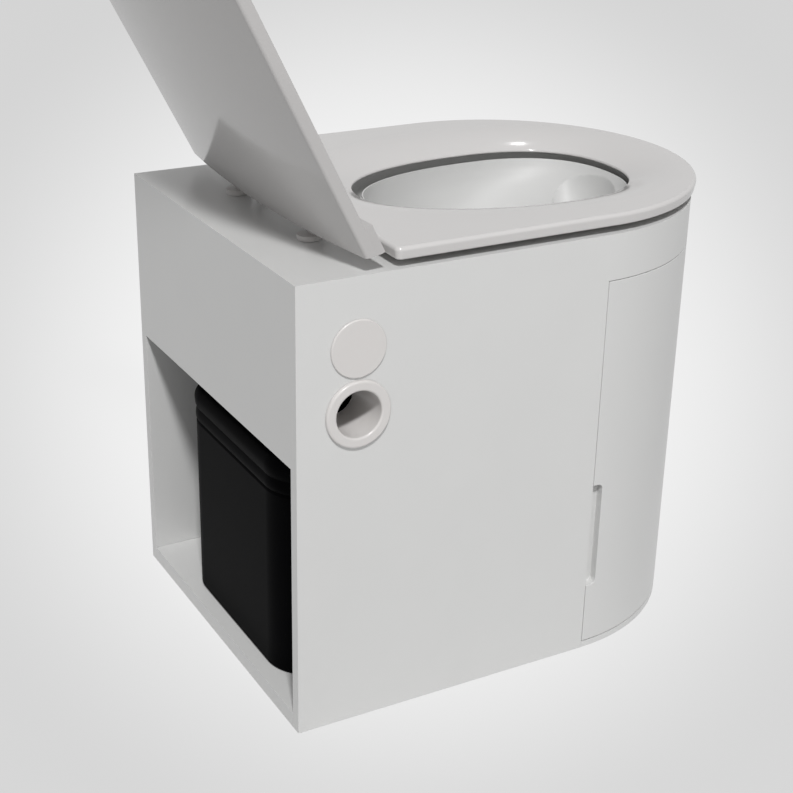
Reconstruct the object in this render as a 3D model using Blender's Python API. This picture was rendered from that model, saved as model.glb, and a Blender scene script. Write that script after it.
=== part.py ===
"""Composting toilet with a half-round front door, a D-shaped seat and lid, and a bin in a rear niche.

Metres, +Z up. The rear is at +Y and the door at -Y. The origin is the middle of the cabinet's base.
The rest position has the lid open, the seat down, the door shut and the bin pushed in.
"""

import math

import bmesh
import bpy
from mathutils import Matrix, Vector

# A name's ending says what it is measured from: INSET, SET and FORWARD from the piece beside it,
# DROP and RISE from the deck. Names in DEG are degrees.

# Cabinet
WIDTH = 0.380
DEPTH = 0.5125
DECK_HEIGHT = 0.445
WALL = 0.012
EDGE_ROUND = 0.0015
NICHE_HEADER = 0.1734
FLOOR_THICKNESS = 0.016
RIM_HEIGHT = 0.0066
RIM_STEP = 0.0135
PARTITION_THICKNESS = 0.006
PARTITION_GAP = 0.0096
PARTITION_SET = 0.01225
FIT = 0.0003
OVERRUN = 0.002

# Door
DOOR_THICKNESS = 0.012
APRON = 0.046
SEAM = 0.0008
PIVOT_RADIUS = 0.0022
PIVOT_DEPTH = 0.010
GROOVE_WIDTH = 0.0120
GROOVE_BOTTOM = 0.073
GROOVE_TOP = 0.186
GROOVE_DEPTH = 0.009
GROOVE_ROUND = 0.0058
MAGNET_RADIUS = 0.0035
MAGNET_DEPTH = 0.004
MAGNET_LOW = 0.045
MAGNET_DROP = 0.049

# Bowl insert
RIM_SIDE_SET = 0.0055
RIM_REAR_SET = 0.012
RIM_FRONT_SET = 0.001
RIM_FORWARD = 0.008
BOWL_POWER = 2.3
BOWL_WALL = 0.0025
BOWL_RIM_DROP = 0.004
GUTTER_DEPTH = 0.0065
FLANGE_SET = 0.0095
FLANGE_WIDTH = 0.0110
OUTLET_Y = 0.055
OUTLET_FORWARD = 0.008
OUTLET_DROP = 0.100
SKIRT_WALL = 0.003
SKIRT_LENGTH = 0.059
BASIN_FORWARD = 0.008
BASIN_SET = 0.003
BASIN_DEPTH = 0.055
DRAIN_RADIUS = 0.0110
SPOUT_WALL = 0.0022
SPOUT_DROP = 0.105

# Vent and disc in the side wall
VENT_INSET = 0.05975
VENT_DROP = 0.127
VENT_FLANGE_RADIUS = 0.0320
VENT_FLANGE_THICKNESS = 0.0035
VENT_FLANGE_ROUND = 0.0023
VENT_BORE_RADIUS = 0.0222
VENT_TUBE_RADIUS = 0.0246
VENT_TUBE_LENGTH = 0.055
LOCK_NUT_RADIUS = 0.0310
LOCK_NUT_HEIGHT = 0.009
DISC_DROP = 0.0657
DISC_RADIUS = 0.0270
DISC_THICKNESS = 0.0018

# Hinges
HINGE_X = 0.080
HINGE_INSET = 0.0728
HINGE_RISE = 0.023
POST_SET = 0.00655
POST_DISC_RADIUS = 0.0110
POST_DISC_HEIGHT = 0.0045
POST_WIDTH = 0.0140
POST_DEPTH = 0.0100
KNUCKLE_RADIUS = 0.0075
PIN_RADIUS = 0.0030
PIN_INBOARD = 0.0460
PIN_OUTBOARD = 0.1020
BOLT_RADIUS = 0.0030
BOLT_LENGTH = 0.034
WING_NUT_RADIUS = 0.0085
WING_NUT_HEIGHT = 0.008
WING_SPAN = 0.034
WING_THICKNESS = 0.003

# Seat
SEAT_INSET = 0.0004
SEAT_OVERHANG = 0.005
SEAT_SET = 0.0236
SEAT_RISE = 0.0192
SEAT_THICKNESS = 0.0119
SEAT_EDGE_ROUND = 0.0022
SEAT_CORNER = 0.006
SEAT_SIDE_BAND = 0.0906
SEAT_REAR_BAND = 0.06585
SEAT_FRONT_BAND = 0.06185
SEAT_HOLE_FORWARD = 0.01375
SEAT_LIP = 0.0172
LUG_WIDTH = 0.0115
LUG_GAP = 0.0007
BUFFER_RADIUS = 0.008
BUFFER_EDGE = 0.001
BUFFER_INSET = 0.030
BUFFER_DEG = 45

# Lid
LID_OVERHANG = 0.0012
LID_THICKNESS = 0.0110
LID_CROWN = 0.0103
LID_UNDERSIDE = -0.001
LID_EDGE_ROUND = 0.0022
LID_OPEN_DEG = 117.2
LID_REAR = 0.0095
BAR_FRONT = -0.0190
BAR_BOTTOM = -0.0080
BAR_INSET = 0.0002
NOTCH_CLEARANCE = 0.0010
LID_BUFFER_RADIUS = 0.006

# Bin
BIN_WIDTH = 0.248
BIN_CENTRE_X = -0.010
BIN_INSET = 0.01455
BIN_CLEARANCE = 0.0097
BIN_GAP = 0.0256
BIN_CORNER = 0.044
BIN_WALL = 0.003
BIN_RIM_PROUD = 0.0025
BIN_RIM_BAND = 0.0295
BIN_RIM_DROP = 0.011
BIN_GROOVE = 0.002

# Canister
CANISTER_CLEARANCE = 0.012
CANISTER_HEADROOM = 0.129
CANISTER_CORNER = 0.018
CANISTER_WALL = 0.003
NECK_RADIUS = 0.028
NECK_HEIGHT = 0.020
NECK_SET = 0.008
CAP_WALL = 0.004
CAP_INLET_RADIUS = 0.018
CAP_FLUTES = 18

# Shapes, as shares of a run and of a drop or rise
CANISTER_SHARES = (1.12, 0.72)
OUTLET_SHARE = 0.66
BASIN_SHARE = 0.53
FUNNEL_SHARES = ((0.0, 0.0), (0.04, 0.10), (0.14, 0.24), (0.42, 0.46), (0.80, 0.74), (1.0, 1.0))
BASIN_SHARES = ((1.0, 0.0), (0.86, 0.45), (0.50, 0.85), (0.0, 1.0))
DISH_SHARE = 0.55
DISH_SHARES = ((0, 0.10), (0.03, 0.19), (0.12, 0.315), (0.28, 0.51), (0.50, 0.725), (0.76, 0.90), (1, 1))
LIP_SHARES = ((0.42, 1.0), (0.26, 0.70), (0.18, 0.24), (0.11, 0.0), (0.01, 0.0), (0.0, 0.04))
BAND_SHARES = ((0.5, 0.08), (1.0, 0.28), (1.0, 0.74), (0.4, 0.93), (-0.8, 1.0))
CROWN_SHARES = (0.9, 0.72, 0.52, 0.3, 0.08)
BOW_SHARE = 0.3
BLIND_SHARE = 0.75

# Sizes that follow from those above
HALF_WIDTH = WIDTH / 2
REAR_Y = DEPTH / 2
SEAM_Y = HALF_WIDTH - DEPTH / 2
PARTITION_Y = SEAM_Y + PARTITION_SET
VENT_Y = REAR_Y - VENT_INSET
HINGE_Y = REAR_Y - HINGE_INSET
POST_Y = HINGE_Y + POST_SET
NICHE_TOP = DECK_HEIGHT - NICHE_HEADER
PARTITION_TOP = NICHE_TOP - PARTITION_GAP
DOOR_TOP = DECK_HEIGHT - APRON
BOWL_RIM_Z = DECK_HEIGHT - BOWL_RIM_DROP
GUTTER_FLOOR = BOWL_RIM_Z - GUTTER_DEPTH
OUTLET_Z = DECK_HEIGHT - OUTLET_DROP
SKIRT_BOTTOM = OUTLET_Z - SKIRT_LENGTH
BASIN_TOP = GUTTER_FLOOR + BOWL_WALL
BASIN_FLOOR = DECK_HEIGHT - BASIN_DEPTH
SPOUT_BOTTOM = DECK_HEIGHT - SPOUT_DROP
VENT_Z = DECK_HEIGHT - VENT_DROP
DISC_Z = DECK_HEIGHT - DISC_DROP
HINGE_Z = DECK_HEIGHT + HINGE_RISE
SEAT_HALF_WIDTH = HALF_WIDTH - SEAT_INSET
SEAT_DISH_WIDTH = DISH_SHARE * SEAT_SIDE_BAND
SEAT_ROUND_Y = SEAM_Y - SEAT_OVERHANG
SEAT_REAR_Y = HINGE_Y - SEAT_SET
SEAT_HOLE_X = SEAT_HALF_WIDTH - SEAT_SIDE_BAND
SEAT_HOLE_WIDE_Y = SEAM_Y - SEAT_HOLE_FORWARD
SEAT_HOLE_REAR = SEAT_REAR_Y - SEAT_REAR_BAND - SEAT_HOLE_WIDE_Y
SEAT_HOLE_FRONT = SEAT_HOLE_WIDE_Y - SEAT_ROUND_Y + SEAT_HALF_WIDTH - SEAT_FRONT_BAND
BOWL_X = SEAT_HOLE_X - RIM_SIDE_SET
OUTLET_X = OUTLET_SHARE * BOWL_X
BASIN_X = BASIN_SHARE * BOWL_X
BOWL_WIDE_Y = SEAT_HOLE_WIDE_Y - RIM_FORWARD
BOWL_REAR = SEAT_HOLE_REAR + RIM_FORWARD - RIM_REAR_SET
BOWL_FRONT = SEAT_HOLE_FRONT - RIM_FORWARD - RIM_FRONT_SET
OUTLET_CENTRE_Y = (PARTITION_Y + BOWL_WIDE_Y + BOWL_REAR) / 2 - OUTLET_FORWARD
CANISTER_REAR_Y = PARTITION_Y - CANISTER_CLEARANCE
CANISTER_WIDTH = CANISTER_SHARES[0] * (HALF_WIDTH - DOOR_THICKNESS)
CANISTER_DEPTH = CANISTER_SHARES[1] * (HALF_WIDTH - DOOR_THICKNESS)
DRAIN_Y = CANISTER_REAR_Y - CANISTER_DEPTH + NECK_RADIUS + NECK_SET
BASIN_CENTRE_Y = DRAIN_Y - BASIN_FORWARD
BASIN_Y = BASIN_CENTRE_Y - BOWL_WIDE_Y + BOWL_FRONT - BASIN_SET
SEAT_TOP = DECK_HEIGHT + SEAT_RISE
SEAT_UNDERSIDE = SEAT_TOP - SEAT_THICKNESS
SEAT_LIP_Z = SEAT_TOP - SEAT_LIP
LID_HALF_WIDTH = SEAT_HALF_WIDTH + LID_OVERHANG
BIN_REAR_Y = REAR_Y - BIN_INSET
BIN_DEPTH = BIN_REAR_Y - PARTITION_Y - PARTITION_THICKNESS - BIN_CLEARANCE
BIN_HEIGHT = NICHE_TOP - BIN_GAP
BIN_RIM_TOP = BIN_HEIGHT - BIN_RIM_DROP
BIN_RIM_BOTTOM = BIN_RIM_TOP - BIN_RIM_BAND
CANISTER_HEIGHT = DOOR_TOP - CANISTER_HEADROOM
MAGNET_Z = (MAGNET_LOW, DOOR_TOP - MAGNET_DROP)
ROUND_STEPS = 32
FULL_TURN = 2 * math.pi


def clear_scene():
    """Remove whatever the scene holds before the model is built."""
    for old in list(bpy.data.objects):
        bpy.data.objects.remove(old, do_unlink=True)


def plastic(name, colour, roughness, metallic=0.0):
    """A Principled material with one colour."""
    material = bpy.data.materials.new(name)
    material.use_nodes = True
    shader = material.node_tree.nodes["Principled BSDF"]
    shader.inputs["Base Color"].default_value = (*colour, 1.0)
    shader.inputs["Roughness"].default_value = roughness
    shader.inputs["Metallic"].default_value = metallic
    material.diffuse_color = (*colour, 1.0)
    return material


def add_object(name, mesh, material=None, parent=None):
    """Link a mesh as a named object, shaded smooth but for its sharp edges."""
    mesh.shade_smooth()
    mesh.set_sharp_from_angle(angle=math.radians(35))
    part = bpy.data.objects.new(name, mesh)
    bpy.context.scene.collection.objects.link(part)
    if material:
        mesh.materials.append(material)
    if parent:
        part.parent = parent
    return part


def mesh_from(name, build):
    """A mesh with outward normals, filled by a function that draws on a bmesh."""
    shape = bmesh.new()
    build(shape)
    bmesh.ops.recalc_face_normals(shape, faces=shape.faces)
    mesh = bpy.data.meshes.new(name)
    shape.to_mesh(mesh)
    shape.free()
    return mesh


def prism(name, outline, low, high, axis="Z"):
    """A plane outline, pulled straight from low to high along an axis."""
    places = {
        "Z": lambda a, b, c: (a, b, c),
        "X": lambda a, b, c: (c, a, b),
        "Y": lambda a, b, c: (a, c, b),
    }[axis]

    def build(shape):
        rings = [[shape.verts.new(places(a, b, c)) for a, b in outline] for c in (low, high)]
        bridge(shape, rings)
        cap(shape, rings)

    return mesh_from(name, build)


def bridge(shape, rings, closed=False):
    """Quads between rings that follow each other, and from the last to the first where closed."""
    pairs = list(zip(rings, rings[1:]))
    if closed:
        pairs.append((rings[-1], rings[0]))
    for near, far in pairs:
        for i in range(len(near)):
            j = (i + 1) % len(near)
            shape.faces.new((near[i], near[j], far[j], far[i]))


def cap(shape, rings):
    """Flat faces over the first and the last ring."""
    shape.faces.new(rings[0])
    shape.faces.new(rings[-1])


def loft(name, levels, closed=False):
    """A skin over outlines of three-dimensional points; closed joins its end to its start."""

    def build(shape):
        rings = [[shape.verts.new(point) for point in level] for level in levels]
        bridge(shape, rings, closed)
        if not closed:
            cap(shape, rings)

    return mesh_from(name, build)


def turned(name, profile, steps=ROUND_STEPS, centre=(0, 0, 0), axis="Z"):
    """A closed profile of (radius, height) points spun round an axis; radius zero closes an end."""
    turn = {
        "Z": Matrix.Identity(3),
        "X": Matrix(((0, 0, 1), (0, 1, 0), (-1, 0, 0))),
        "Y": Matrix(((1, 0, 0), (0, 0, 1), (0, -1, 0))),
    }[axis]

    def place(radius, height, step):
        angle = FULL_TURN * step / steps
        point = Vector((radius * math.cos(angle), radius * math.sin(angle), height))
        return turn @ point + Vector(centre)

    def build(shape):
        solid = profile[0][0] == 0
        body = profile[1:-1] if solid else profile
        rings = [[shape.verts.new(place(r, h, s)) for s in range(steps)] for r, h in body]
        bridge(shape, rings, closed=not solid)
        if solid:
            for ring, (_, height) in ((rings[0], profile[0]), (rings[-1], profile[-1])):
                tip = shape.verts.new(turn @ Vector((0, 0, height)) + Vector(centre))
                for i in range(steps):
                    shape.faces.new((ring[i], ring[(i + 1) % steps], tip))

    return mesh_from(name, build)


def disc_profile(radius, low, high, edge=0.0):
    """The profile of a solid disc, with both rims broken by a small chamfer."""
    if not edge:
        return [(0, high), (radius, high), (radius, low), (0, low)]
    return [
        (0, high),
        (radius - edge, high),
        (radius, high - edge),
        (radius, low + edge),
        (radius - edge, low),
        (0, low),
    ]


def tube_profile(outer, inner, low, high):
    """The profile of a plain tube."""
    return [(outer, high), (outer, low), (inner, low), (inner, high)]


def box_outline(low, high):
    """The four corners of a box in a plane."""
    return [(low[0], low[1]), (high[0], low[1]), (high[0], high[1]), (low[0], high[1])]


def arc(centre, radius, start, end, steps):
    """Points along an arc, from one angle in degrees to another, both ends included."""
    angles = [math.radians(start + (end - start) * i / steps) for i in range(steps + 1)]
    return [(centre[0] + radius * math.cos(a), centre[1] + radius * math.sin(a)) for a in angles]


def rounded_box(low, high, radius, steps=6):
    """A box outline whose four corners are arcs."""
    corners = (
        ((high[0] - radius, high[1] - radius), 0),
        ((low[0] + radius, high[1] - radius), 90),
        ((low[0] + radius, low[1] + radius), 180),
        ((high[0] - radius, low[1] + radius), 270),
    )
    return [p for centre, start in corners for p in arc(centre, radius, start, start + 90, steps)]


def oval(half_x, rear, front, wide_y, power=BOWL_POWER, steps=2 * ROUND_STEPS):
    """A closed oval, widest at wide_y, that reaches a different way to its rear and to its front."""
    points = []
    for i in range(steps):
        angle = FULL_TURN * i / steps
        c, s = math.cos(angle), math.sin(angle)
        x = math.copysign(abs(c) ** (2 / power), c) * half_x
        y = math.copysign(abs(s) ** (2 / power), s) * (rear if s > 0 else front)
        points.append((x, wide_y + y))
    return points


def rim_oval(grow):
    """The bowl's rim, grown outwards all round."""
    return oval(BOWL_X + grow, BOWL_REAR + grow, BOWL_FRONT + grow, BOWL_WIDE_Y)


def hole_oval(grow):
    """The seat's hole, grown outwards all round."""
    size = (SEAT_HOLE_X, SEAT_HOLE_REAR, SEAT_HOLE_FRONT)
    return oval(*(length + grow for length in size), SEAT_HOLE_WIDE_Y)


def at_height(outline, z):
    """An outline in the plane, lifted to a height."""
    return [(x, y, z) for x, y in outline]


def cut(part, mesh, operation="DIFFERENCE"):
    """Take a hidden shape away from a part, or join it on, with an exact Boolean."""
    tool = add_object(f"tool_{part.name}_{len(part.modifiers)}", mesh, parent=part.parent)
    tool.location = part.location
    tool.rotation_euler = part.rotation_euler
    tool.hide_render = True
    tool.display_type = "WIRE"
    step = part.modifiers.new(operation.lower(), "BOOLEAN")
    step.operation = operation
    step.solver = "EXACT"
    step.object = tool


def join(part, mesh):
    """Add a shape to a part with an exact Boolean union."""
    cut(part, mesh, "UNION")


def round_edges(part, width, angle=50, segments=2):
    """Round the edges that are sharper than an angle."""
    step = part.modifiers.new("rounding", "BEVEL")
    step.width = width
    step.segments = segments
    step.limit_method = "ANGLE"
    step.angle_limit = math.radians(angle)


def joint(name, place):
    """An empty on a joint's axis, which carries the pieces that turn or slide there."""
    pivot = bpy.data.objects.new(name, None)
    pivot.location = place
    pivot.empty_display_size = WALL
    bpy.context.scene.collection.objects.link(pivot)
    return pivot


def rod(name, radius, low, high, centre=(0, 0, 0), axis="Z", steps=16, edge=0.0):
    """A solid round bar from low to high along an axis."""
    return turned(name, disc_profile(radius, low, high, edge), steps, centre, axis)


def shifted(outline, pivot):
    """An outline seen from a pivot."""
    return [(x - pivot[0], y - pivot[1]) for x, y in outline]


def d_outline(half_width, rear_y, round_y, steps=ROUND_STEPS):
    """Straight rear and sides, and a half-round front, as seen from above."""
    rear = [(half_width, rear_y), (-half_width, rear_y)]
    return rear + arc((0, round_y), half_width, 180, 360, steps)


def door_pivot():
    """The door's axis: the middle of its wall, one half thickness in front of the seam."""
    middle = HALF_WIDTH - DOOR_THICKNESS / 2
    drop = SEAM + DOOR_THICKNESS / 2
    return (math.sqrt(middle**2 - drop**2), SEAM_Y - drop)


def magnet_places():
    """The two magnets in the free edge, as (x, z)."""
    return [(WALL / 2 - HALF_WIDTH, z) for z in MAGNET_Z]


def bolt_places():
    """The two hinge bolts, as (x, y)."""
    return [(side * HINGE_X, POST_Y) for side in (-1, 1)]


def make_cabinet_shell(white):
    """Side walls, deck, rear header and the apron over the door, moulded as one."""
    outline = d_outline(HALF_WIDTH, REAR_Y, SEAM_Y)
    shell = add_object("cabinet_shell", prism("cabinet_shell", outline, 0, DECK_HEIGHT), white)
    round_edges(shell, EDGE_ROUND)
    inner = HALF_WIDTH - WALL
    cavity = d_outline(inner, REAR_Y - WALL, SEAM_Y)
    cut(shell, prism("cavity", cavity, -OVERRUN, DECK_HEIGHT - WALL))
    niche = box_outline((-inner, REAR_Y - WALL - OVERRUN), (inner, REAR_Y + OVERRUN))
    cut(shell, prism("niche", niche, -OVERRUN, NICHE_TOP))
    front = box_outline((-WIDTH, -DEPTH), (WIDTH, SEAM_Y))
    cut(shell, prism("door_way", front, -OVERRUN, DOOR_TOP + SEAM))
    hole = hole_oval(FLANGE_SET + BOWL_WALL + FIT)
    cut(shell, prism("deck_hole", hole, DECK_HEIGHT - 2 * WALL, DECK_HEIGHT + OVERRUN))
    for x, y in bolt_places():
        bore = BOLT_RADIUS + FIT
        cut(shell, rod("bolt_hole", bore, DECK_HEIGHT - 2 * WALL, DECK_HEIGHT + OVERRUN, (x, y, 0)))
    vent = VENT_TUBE_RADIUS + FIT
    outside = -HALF_WIDTH - OVERRUN
    place = (0, VENT_Y, VENT_Z)
    cut(shell, rod("vent_hole", vent, outside, OVERRUN - inner, place, "X", ROUND_STEPS))
    pivot = (*door_pivot(), 0)
    above = DOOR_TOP + SEAM + PIVOT_DEPTH + FIT
    cut(shell, rod("pivot_hole", PIVOT_RADIUS + FIT, DOOR_TOP, above, pivot, steps=12))
    for x, z in magnet_places():
        pocket = (x, 0, z)
        deep = SEAM_Y + MAGNET_DEPTH + FIT
        cut(shell, rod("pocket", MAGNET_RADIUS + FIT, SEAM_Y - OVERRUN, deep, pocket, "Y", 12))


def make_floor_plate(white):
    """The floor between the side walls, with a flush rim under the door."""
    inner = HALF_WIDTH - WALL - FIT
    front_y = SEAM_Y - FIT
    rear = [(inner, REAR_Y), (-inner, REAR_Y), (-inner, front_y)]
    top = rear + arc((0, front_y), HALF_WIDTH - RIM_STEP, 180, 360, ROUND_STEPS)
    rim = rear + arc((0, front_y), HALF_WIDTH - FIT, 180, 360, ROUND_STEPS)
    top.append((inner, front_y))
    rim.append((inner, front_y))
    plate = add_object("floor_plate", prism("floor_plate", top, 0, FLOOR_THICKNESS), white)
    join(plate, prism("rim", rim, 0, RIM_HEIGHT))
    pivot = (*door_pivot(), 0)
    low = RIM_HEIGHT - pivot_foot() - FIT
    cut(plate, rod("pivot_hole", PIVOT_RADIUS + FIT, low, 2 * RIM_HEIGHT, pivot, steps=12))


def pivot_foot():
    """How deep the lower pivot pin stands in the rim."""
    return RIM_HEIGHT * BLIND_SHARE


def make_partition(white):
    """The upright panel that stops the bin and stiffens the side walls."""
    half = HALF_WIDTH - WALL - FIT
    sides = box_outline((-half, PARTITION_Y), (half, PARTITION_Y + PARTITION_THICKNESS))
    panel = prism("partition", sides, FLOOR_THICKNESS + FIT, PARTITION_TOP)
    add_object("partition", panel, white)


def door_outline():
    """The door from above: a half-round wall, flat at the free edge and rounded about its pivot."""
    centre = (0, SEAM_Y)
    inner = HALF_WIDTH - DOOR_THICKNESS
    pivot = door_pivot()
    hinge = 360 - math.degrees(math.atan2(SEAM_Y - pivot[1], pivot[0]))
    outer_free = 180 + math.degrees(math.asin(SEAM / HALF_WIDTH))
    inner_free = 180 + math.degrees(math.asin(SEAM / inner))
    outside = arc(centre, HALF_WIDTH, outer_free, hinge, ROUND_STEPS)
    end = arc(pivot, DOOR_THICKNESS / 2, hinge - 360, hinge - 180, 8)[1:-1]
    inside = arc(centre, inner, hinge, inner_free, ROUND_STEPS)
    return outside + end + inside


def make_door(white, steel, pivot_empty):
    """The half-round door with its finger groove, magnets and pivot pins."""
    pivot = door_pivot()
    low = RIM_HEIGHT + SEAM
    shape = prism("front_door", shifted(door_outline(), pivot), low, DOOR_TOP)
    door = add_object("front_door", shape, white, pivot_empty)
    groove_y = SEAM_Y - pivot[1]
    groove = rounded_box(
        (groove_y - GROOVE_WIDTH, GROOVE_BOTTOM),
        (groove_y + GROOVE_WIDTH, GROOVE_TOP),
        GROOVE_ROUND,
    )
    face = -HALF_WIDTH - pivot[0]
    cut(door, prism("groove", groove, face - OVERRUN, face + GROOVE_DEPTH, "X"))
    bore = PIVOT_RADIUS + FIT
    deep = PIVOT_DEPTH + FIT
    cut(door, rod("top_bore", bore, DOOR_TOP - deep, DOOR_TOP + OVERRUN, steps=12))
    cut(door, rod("foot_bore", bore, low - OVERRUN, low + deep, steps=12))
    edge = SEAM_Y - SEAM - pivot[1]
    for name, (x, z) in zip(("lower", "upper"), magnet_places()):
        place = (x - pivot[0], 0, z)
        pocket = (MAGNET_RADIUS + FIT, edge - MAGNET_DEPTH - FIT, edge + OVERRUN)
        cut(door, rod("pocket", *pocket, place, "Y", 12))
        strike = rod(f"door_magnet_{name}", MAGNET_RADIUS, edge - MAGNET_DEPTH, edge, place, "Y", 12)
        add_object(f"door_magnet_{name}", strike, steel, pivot_empty)
        catch = (MAGNET_RADIUS, SEAM_Y, SEAM_Y + MAGNET_DEPTH, (x, 0, z), "Y", 12)
        add_object(f"frame_magnet_{name}", rod(f"frame_magnet_{name}", *catch), steel)
    pin = (DOOR_TOP - PIVOT_DEPTH, DOOR_TOP + SEAM + PIVOT_DEPTH)
    foot = (RIM_HEIGHT - pivot_foot(), low + PIVOT_DEPTH)
    for name, (bottom, top) in (("top", pin), ("bottom", foot)):
        shape = rod(f"door_pin_{name}", PIVOT_RADIUS, bottom, top, (*pivot, 0), steps=12)
        add_object(f"door_pin_{name}", shape, steel)


def bowl_level(share, offset, z):
    """One oval of the funnel, from its rim at share 0 to the outlet at share 1, grown by an offset."""
    half_x = BOWL_X + (OUTLET_X - BOWL_X) * share + offset
    rear = BOWL_REAR + (OUTLET_Y - BOWL_REAR) * share + offset
    front = BOWL_FRONT + (OUTLET_Y - BOWL_FRONT) * share + offset
    wide_y = BOWL_WIDE_Y + (OUTLET_CENTRE_Y - BOWL_WIDE_Y) * share
    return at_height(oval(half_x, rear, front, wide_y), z)


def funnel_levels(offset):
    """The funnel's wall as ovals, by shares of its run and of its drop."""
    return [
        bowl_level(run, offset, BOWL_RIM_Z - offset - (BOWL_RIM_Z - OUTLET_Z) * drop)
        for run, drop in FUNNEL_SHARES
    ]


def basin_levels(offset, top):
    """The front basin, from its top down to the drain."""
    levels = []
    for run, drop in BASIN_SHARES:
        half_x = DRAIN_RADIUS + (BASIN_X - DRAIN_RADIUS) * run + offset
        half_y = DRAIN_RADIUS + (BASIN_Y - DRAIN_RADIUS) * run + offset
        centre = DRAIN_Y + (BASIN_CENTRE_Y - DRAIN_Y) * run
        z = top - (top - BASIN_FLOOR) * drop - offset
        levels.append(at_height(oval(half_x, half_y, half_y, centre, 2, ROUND_STEPS), z))
    return levels


def make_bowl_insert(white):
    """The urine-diverting bowl: flange on the deck, drip gutter, rear funnel and front basin."""
    rest = DECK_HEIGHT + FIT
    high = rest + BOWL_WALL
    edge = FLANGE_SET + BOWL_WALL
    under = GUTTER_FLOOR - BOWL_WALL
    inside, outside = funnel_levels(0), funnel_levels(BOWL_WALL)
    skin = [bowl_level(1.0, BOWL_WALL, OUTLET_Z - WALL)]
    skin += [level for level in outside[::-1] if level[0][2] < under]
    skin += [at_height(rim_oval(BOWL_WALL), under)]
    skin += [at_height(hole_oval(edge), z) for z in (under, rest)]
    skin += [at_height(hole_oval(edge + FLANGE_WIDTH), z) for z in (rest, high)]
    bowl = add_object("bowl_insert", loft("bowl_insert", skin), white)
    join(bowl, loft("basin_body", basin_levels(BOWL_WALL, GUTTER_FLOOR + BOWL_WALL / 2)))
    well = [at_height(hole_oval(FLANGE_SET), z) for z in (high + OVERRUN, GUTTER_FLOOR)]
    well += [at_height(rim_oval(BOWL_WALL), z) for z in (GUTTER_FLOOR, BOWL_RIM_Z)]
    cut(bowl, loft("well", well))
    hollow = [bowl_level(0, 0, high + 2 * OVERRUN)] + inside
    cut(bowl, loft("hollow", hollow + [bowl_level(1.0, 0, OUTLET_Z - 2 * WALL)]))
    cut(bowl, loft("basin", basin_levels(0, BASIN_TOP)))
    tube = DRAIN_RADIUS - SPOUT_WALL
    cut(bowl, rod("drain", tube, SPOUT_BOTTOM, BASIN_TOP, (0, DRAIN_Y, 0), steps=24))


def make_drop_skirt(grey):
    """The sleeve that hangs from the outlet over the bin."""
    wall = BOWL_WALL + FIT
    levels = [
        bowl_level(1.0, wall + SKIRT_WALL, OUTLET_Z - 2 * FIT - BOWL_WALL),
        bowl_level(1.0, wall + SKIRT_WALL, SKIRT_BOTTOM),
        bowl_level(1.0, wall, SKIRT_BOTTOM),
        bowl_level(1.0, wall, OUTLET_Z - 2 * FIT - BOWL_WALL),
    ]
    add_object("drop_skirt", loft("drop_skirt", levels, closed=True), grey)


def make_drain_spout(grey):
    """The short pipe that carries the basin's drain down to the canister."""
    outer = DRAIN_RADIUS
    bore = DRAIN_RADIUS - SPOUT_WALL
    top = BASIN_FLOOR - BOWL_WALL - FIT
    profile = tube_profile(outer, bore, SPOUT_BOTTOM, top)
    add_object("drain_spout", turned("drain_spout", profile, 24, (0, DRAIN_Y, 0)), grey)


def make_vent(white):
    """The flanged spigot in the side wall, and the nut that holds it from inside."""
    outside = -HALF_WIDTH - FIT
    face = outside - VENT_FLANGE_THICKNESS
    end = face + VENT_TUBE_LENGTH
    place = (0, VENT_Y, VENT_Z)
    lead = VENT_FLANGE_ROUND
    profile = [
        (VENT_TUBE_RADIUS, end),
        (VENT_TUBE_RADIUS, outside),
        (VENT_FLANGE_RADIUS, outside),
        (VENT_FLANGE_RADIUS, face + lead),
        (VENT_FLANGE_RADIUS - lead, face),
        (VENT_BORE_RADIUS + lead, face),
        (VENT_BORE_RADIUS, face + lead),
        (VENT_BORE_RADIUS, end),
    ]
    add_object("vent_flange", turned("vent_flange", profile, 40, place, "X"), white)
    inner = WALL - HALF_WIDTH + FIT
    nut = tube_profile(LOCK_NUT_RADIUS, VENT_TUBE_RADIUS + FIT, inner, inner + LOCK_NUT_HEIGHT)
    add_object("vent_lock_nut", turned("vent_lock_nut", nut, 40, place, "X"), white)


def make_badge_disc(white):
    """The plain raised disc above the vent."""
    back = -HALF_WIDTH - FIT
    front = back - DISC_THICKNESS
    edge = DISC_THICKNESS / 2
    profile = [(0, back), (DISC_RADIUS, back), (DISC_RADIUS, front + edge)]
    profile += [(DISC_RADIUS - edge, front), (0, front)]
    add_object("badge_disc", turned("badge_disc", profile, 40, (0, VENT_Y, DISC_Z), "X"), white)


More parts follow.
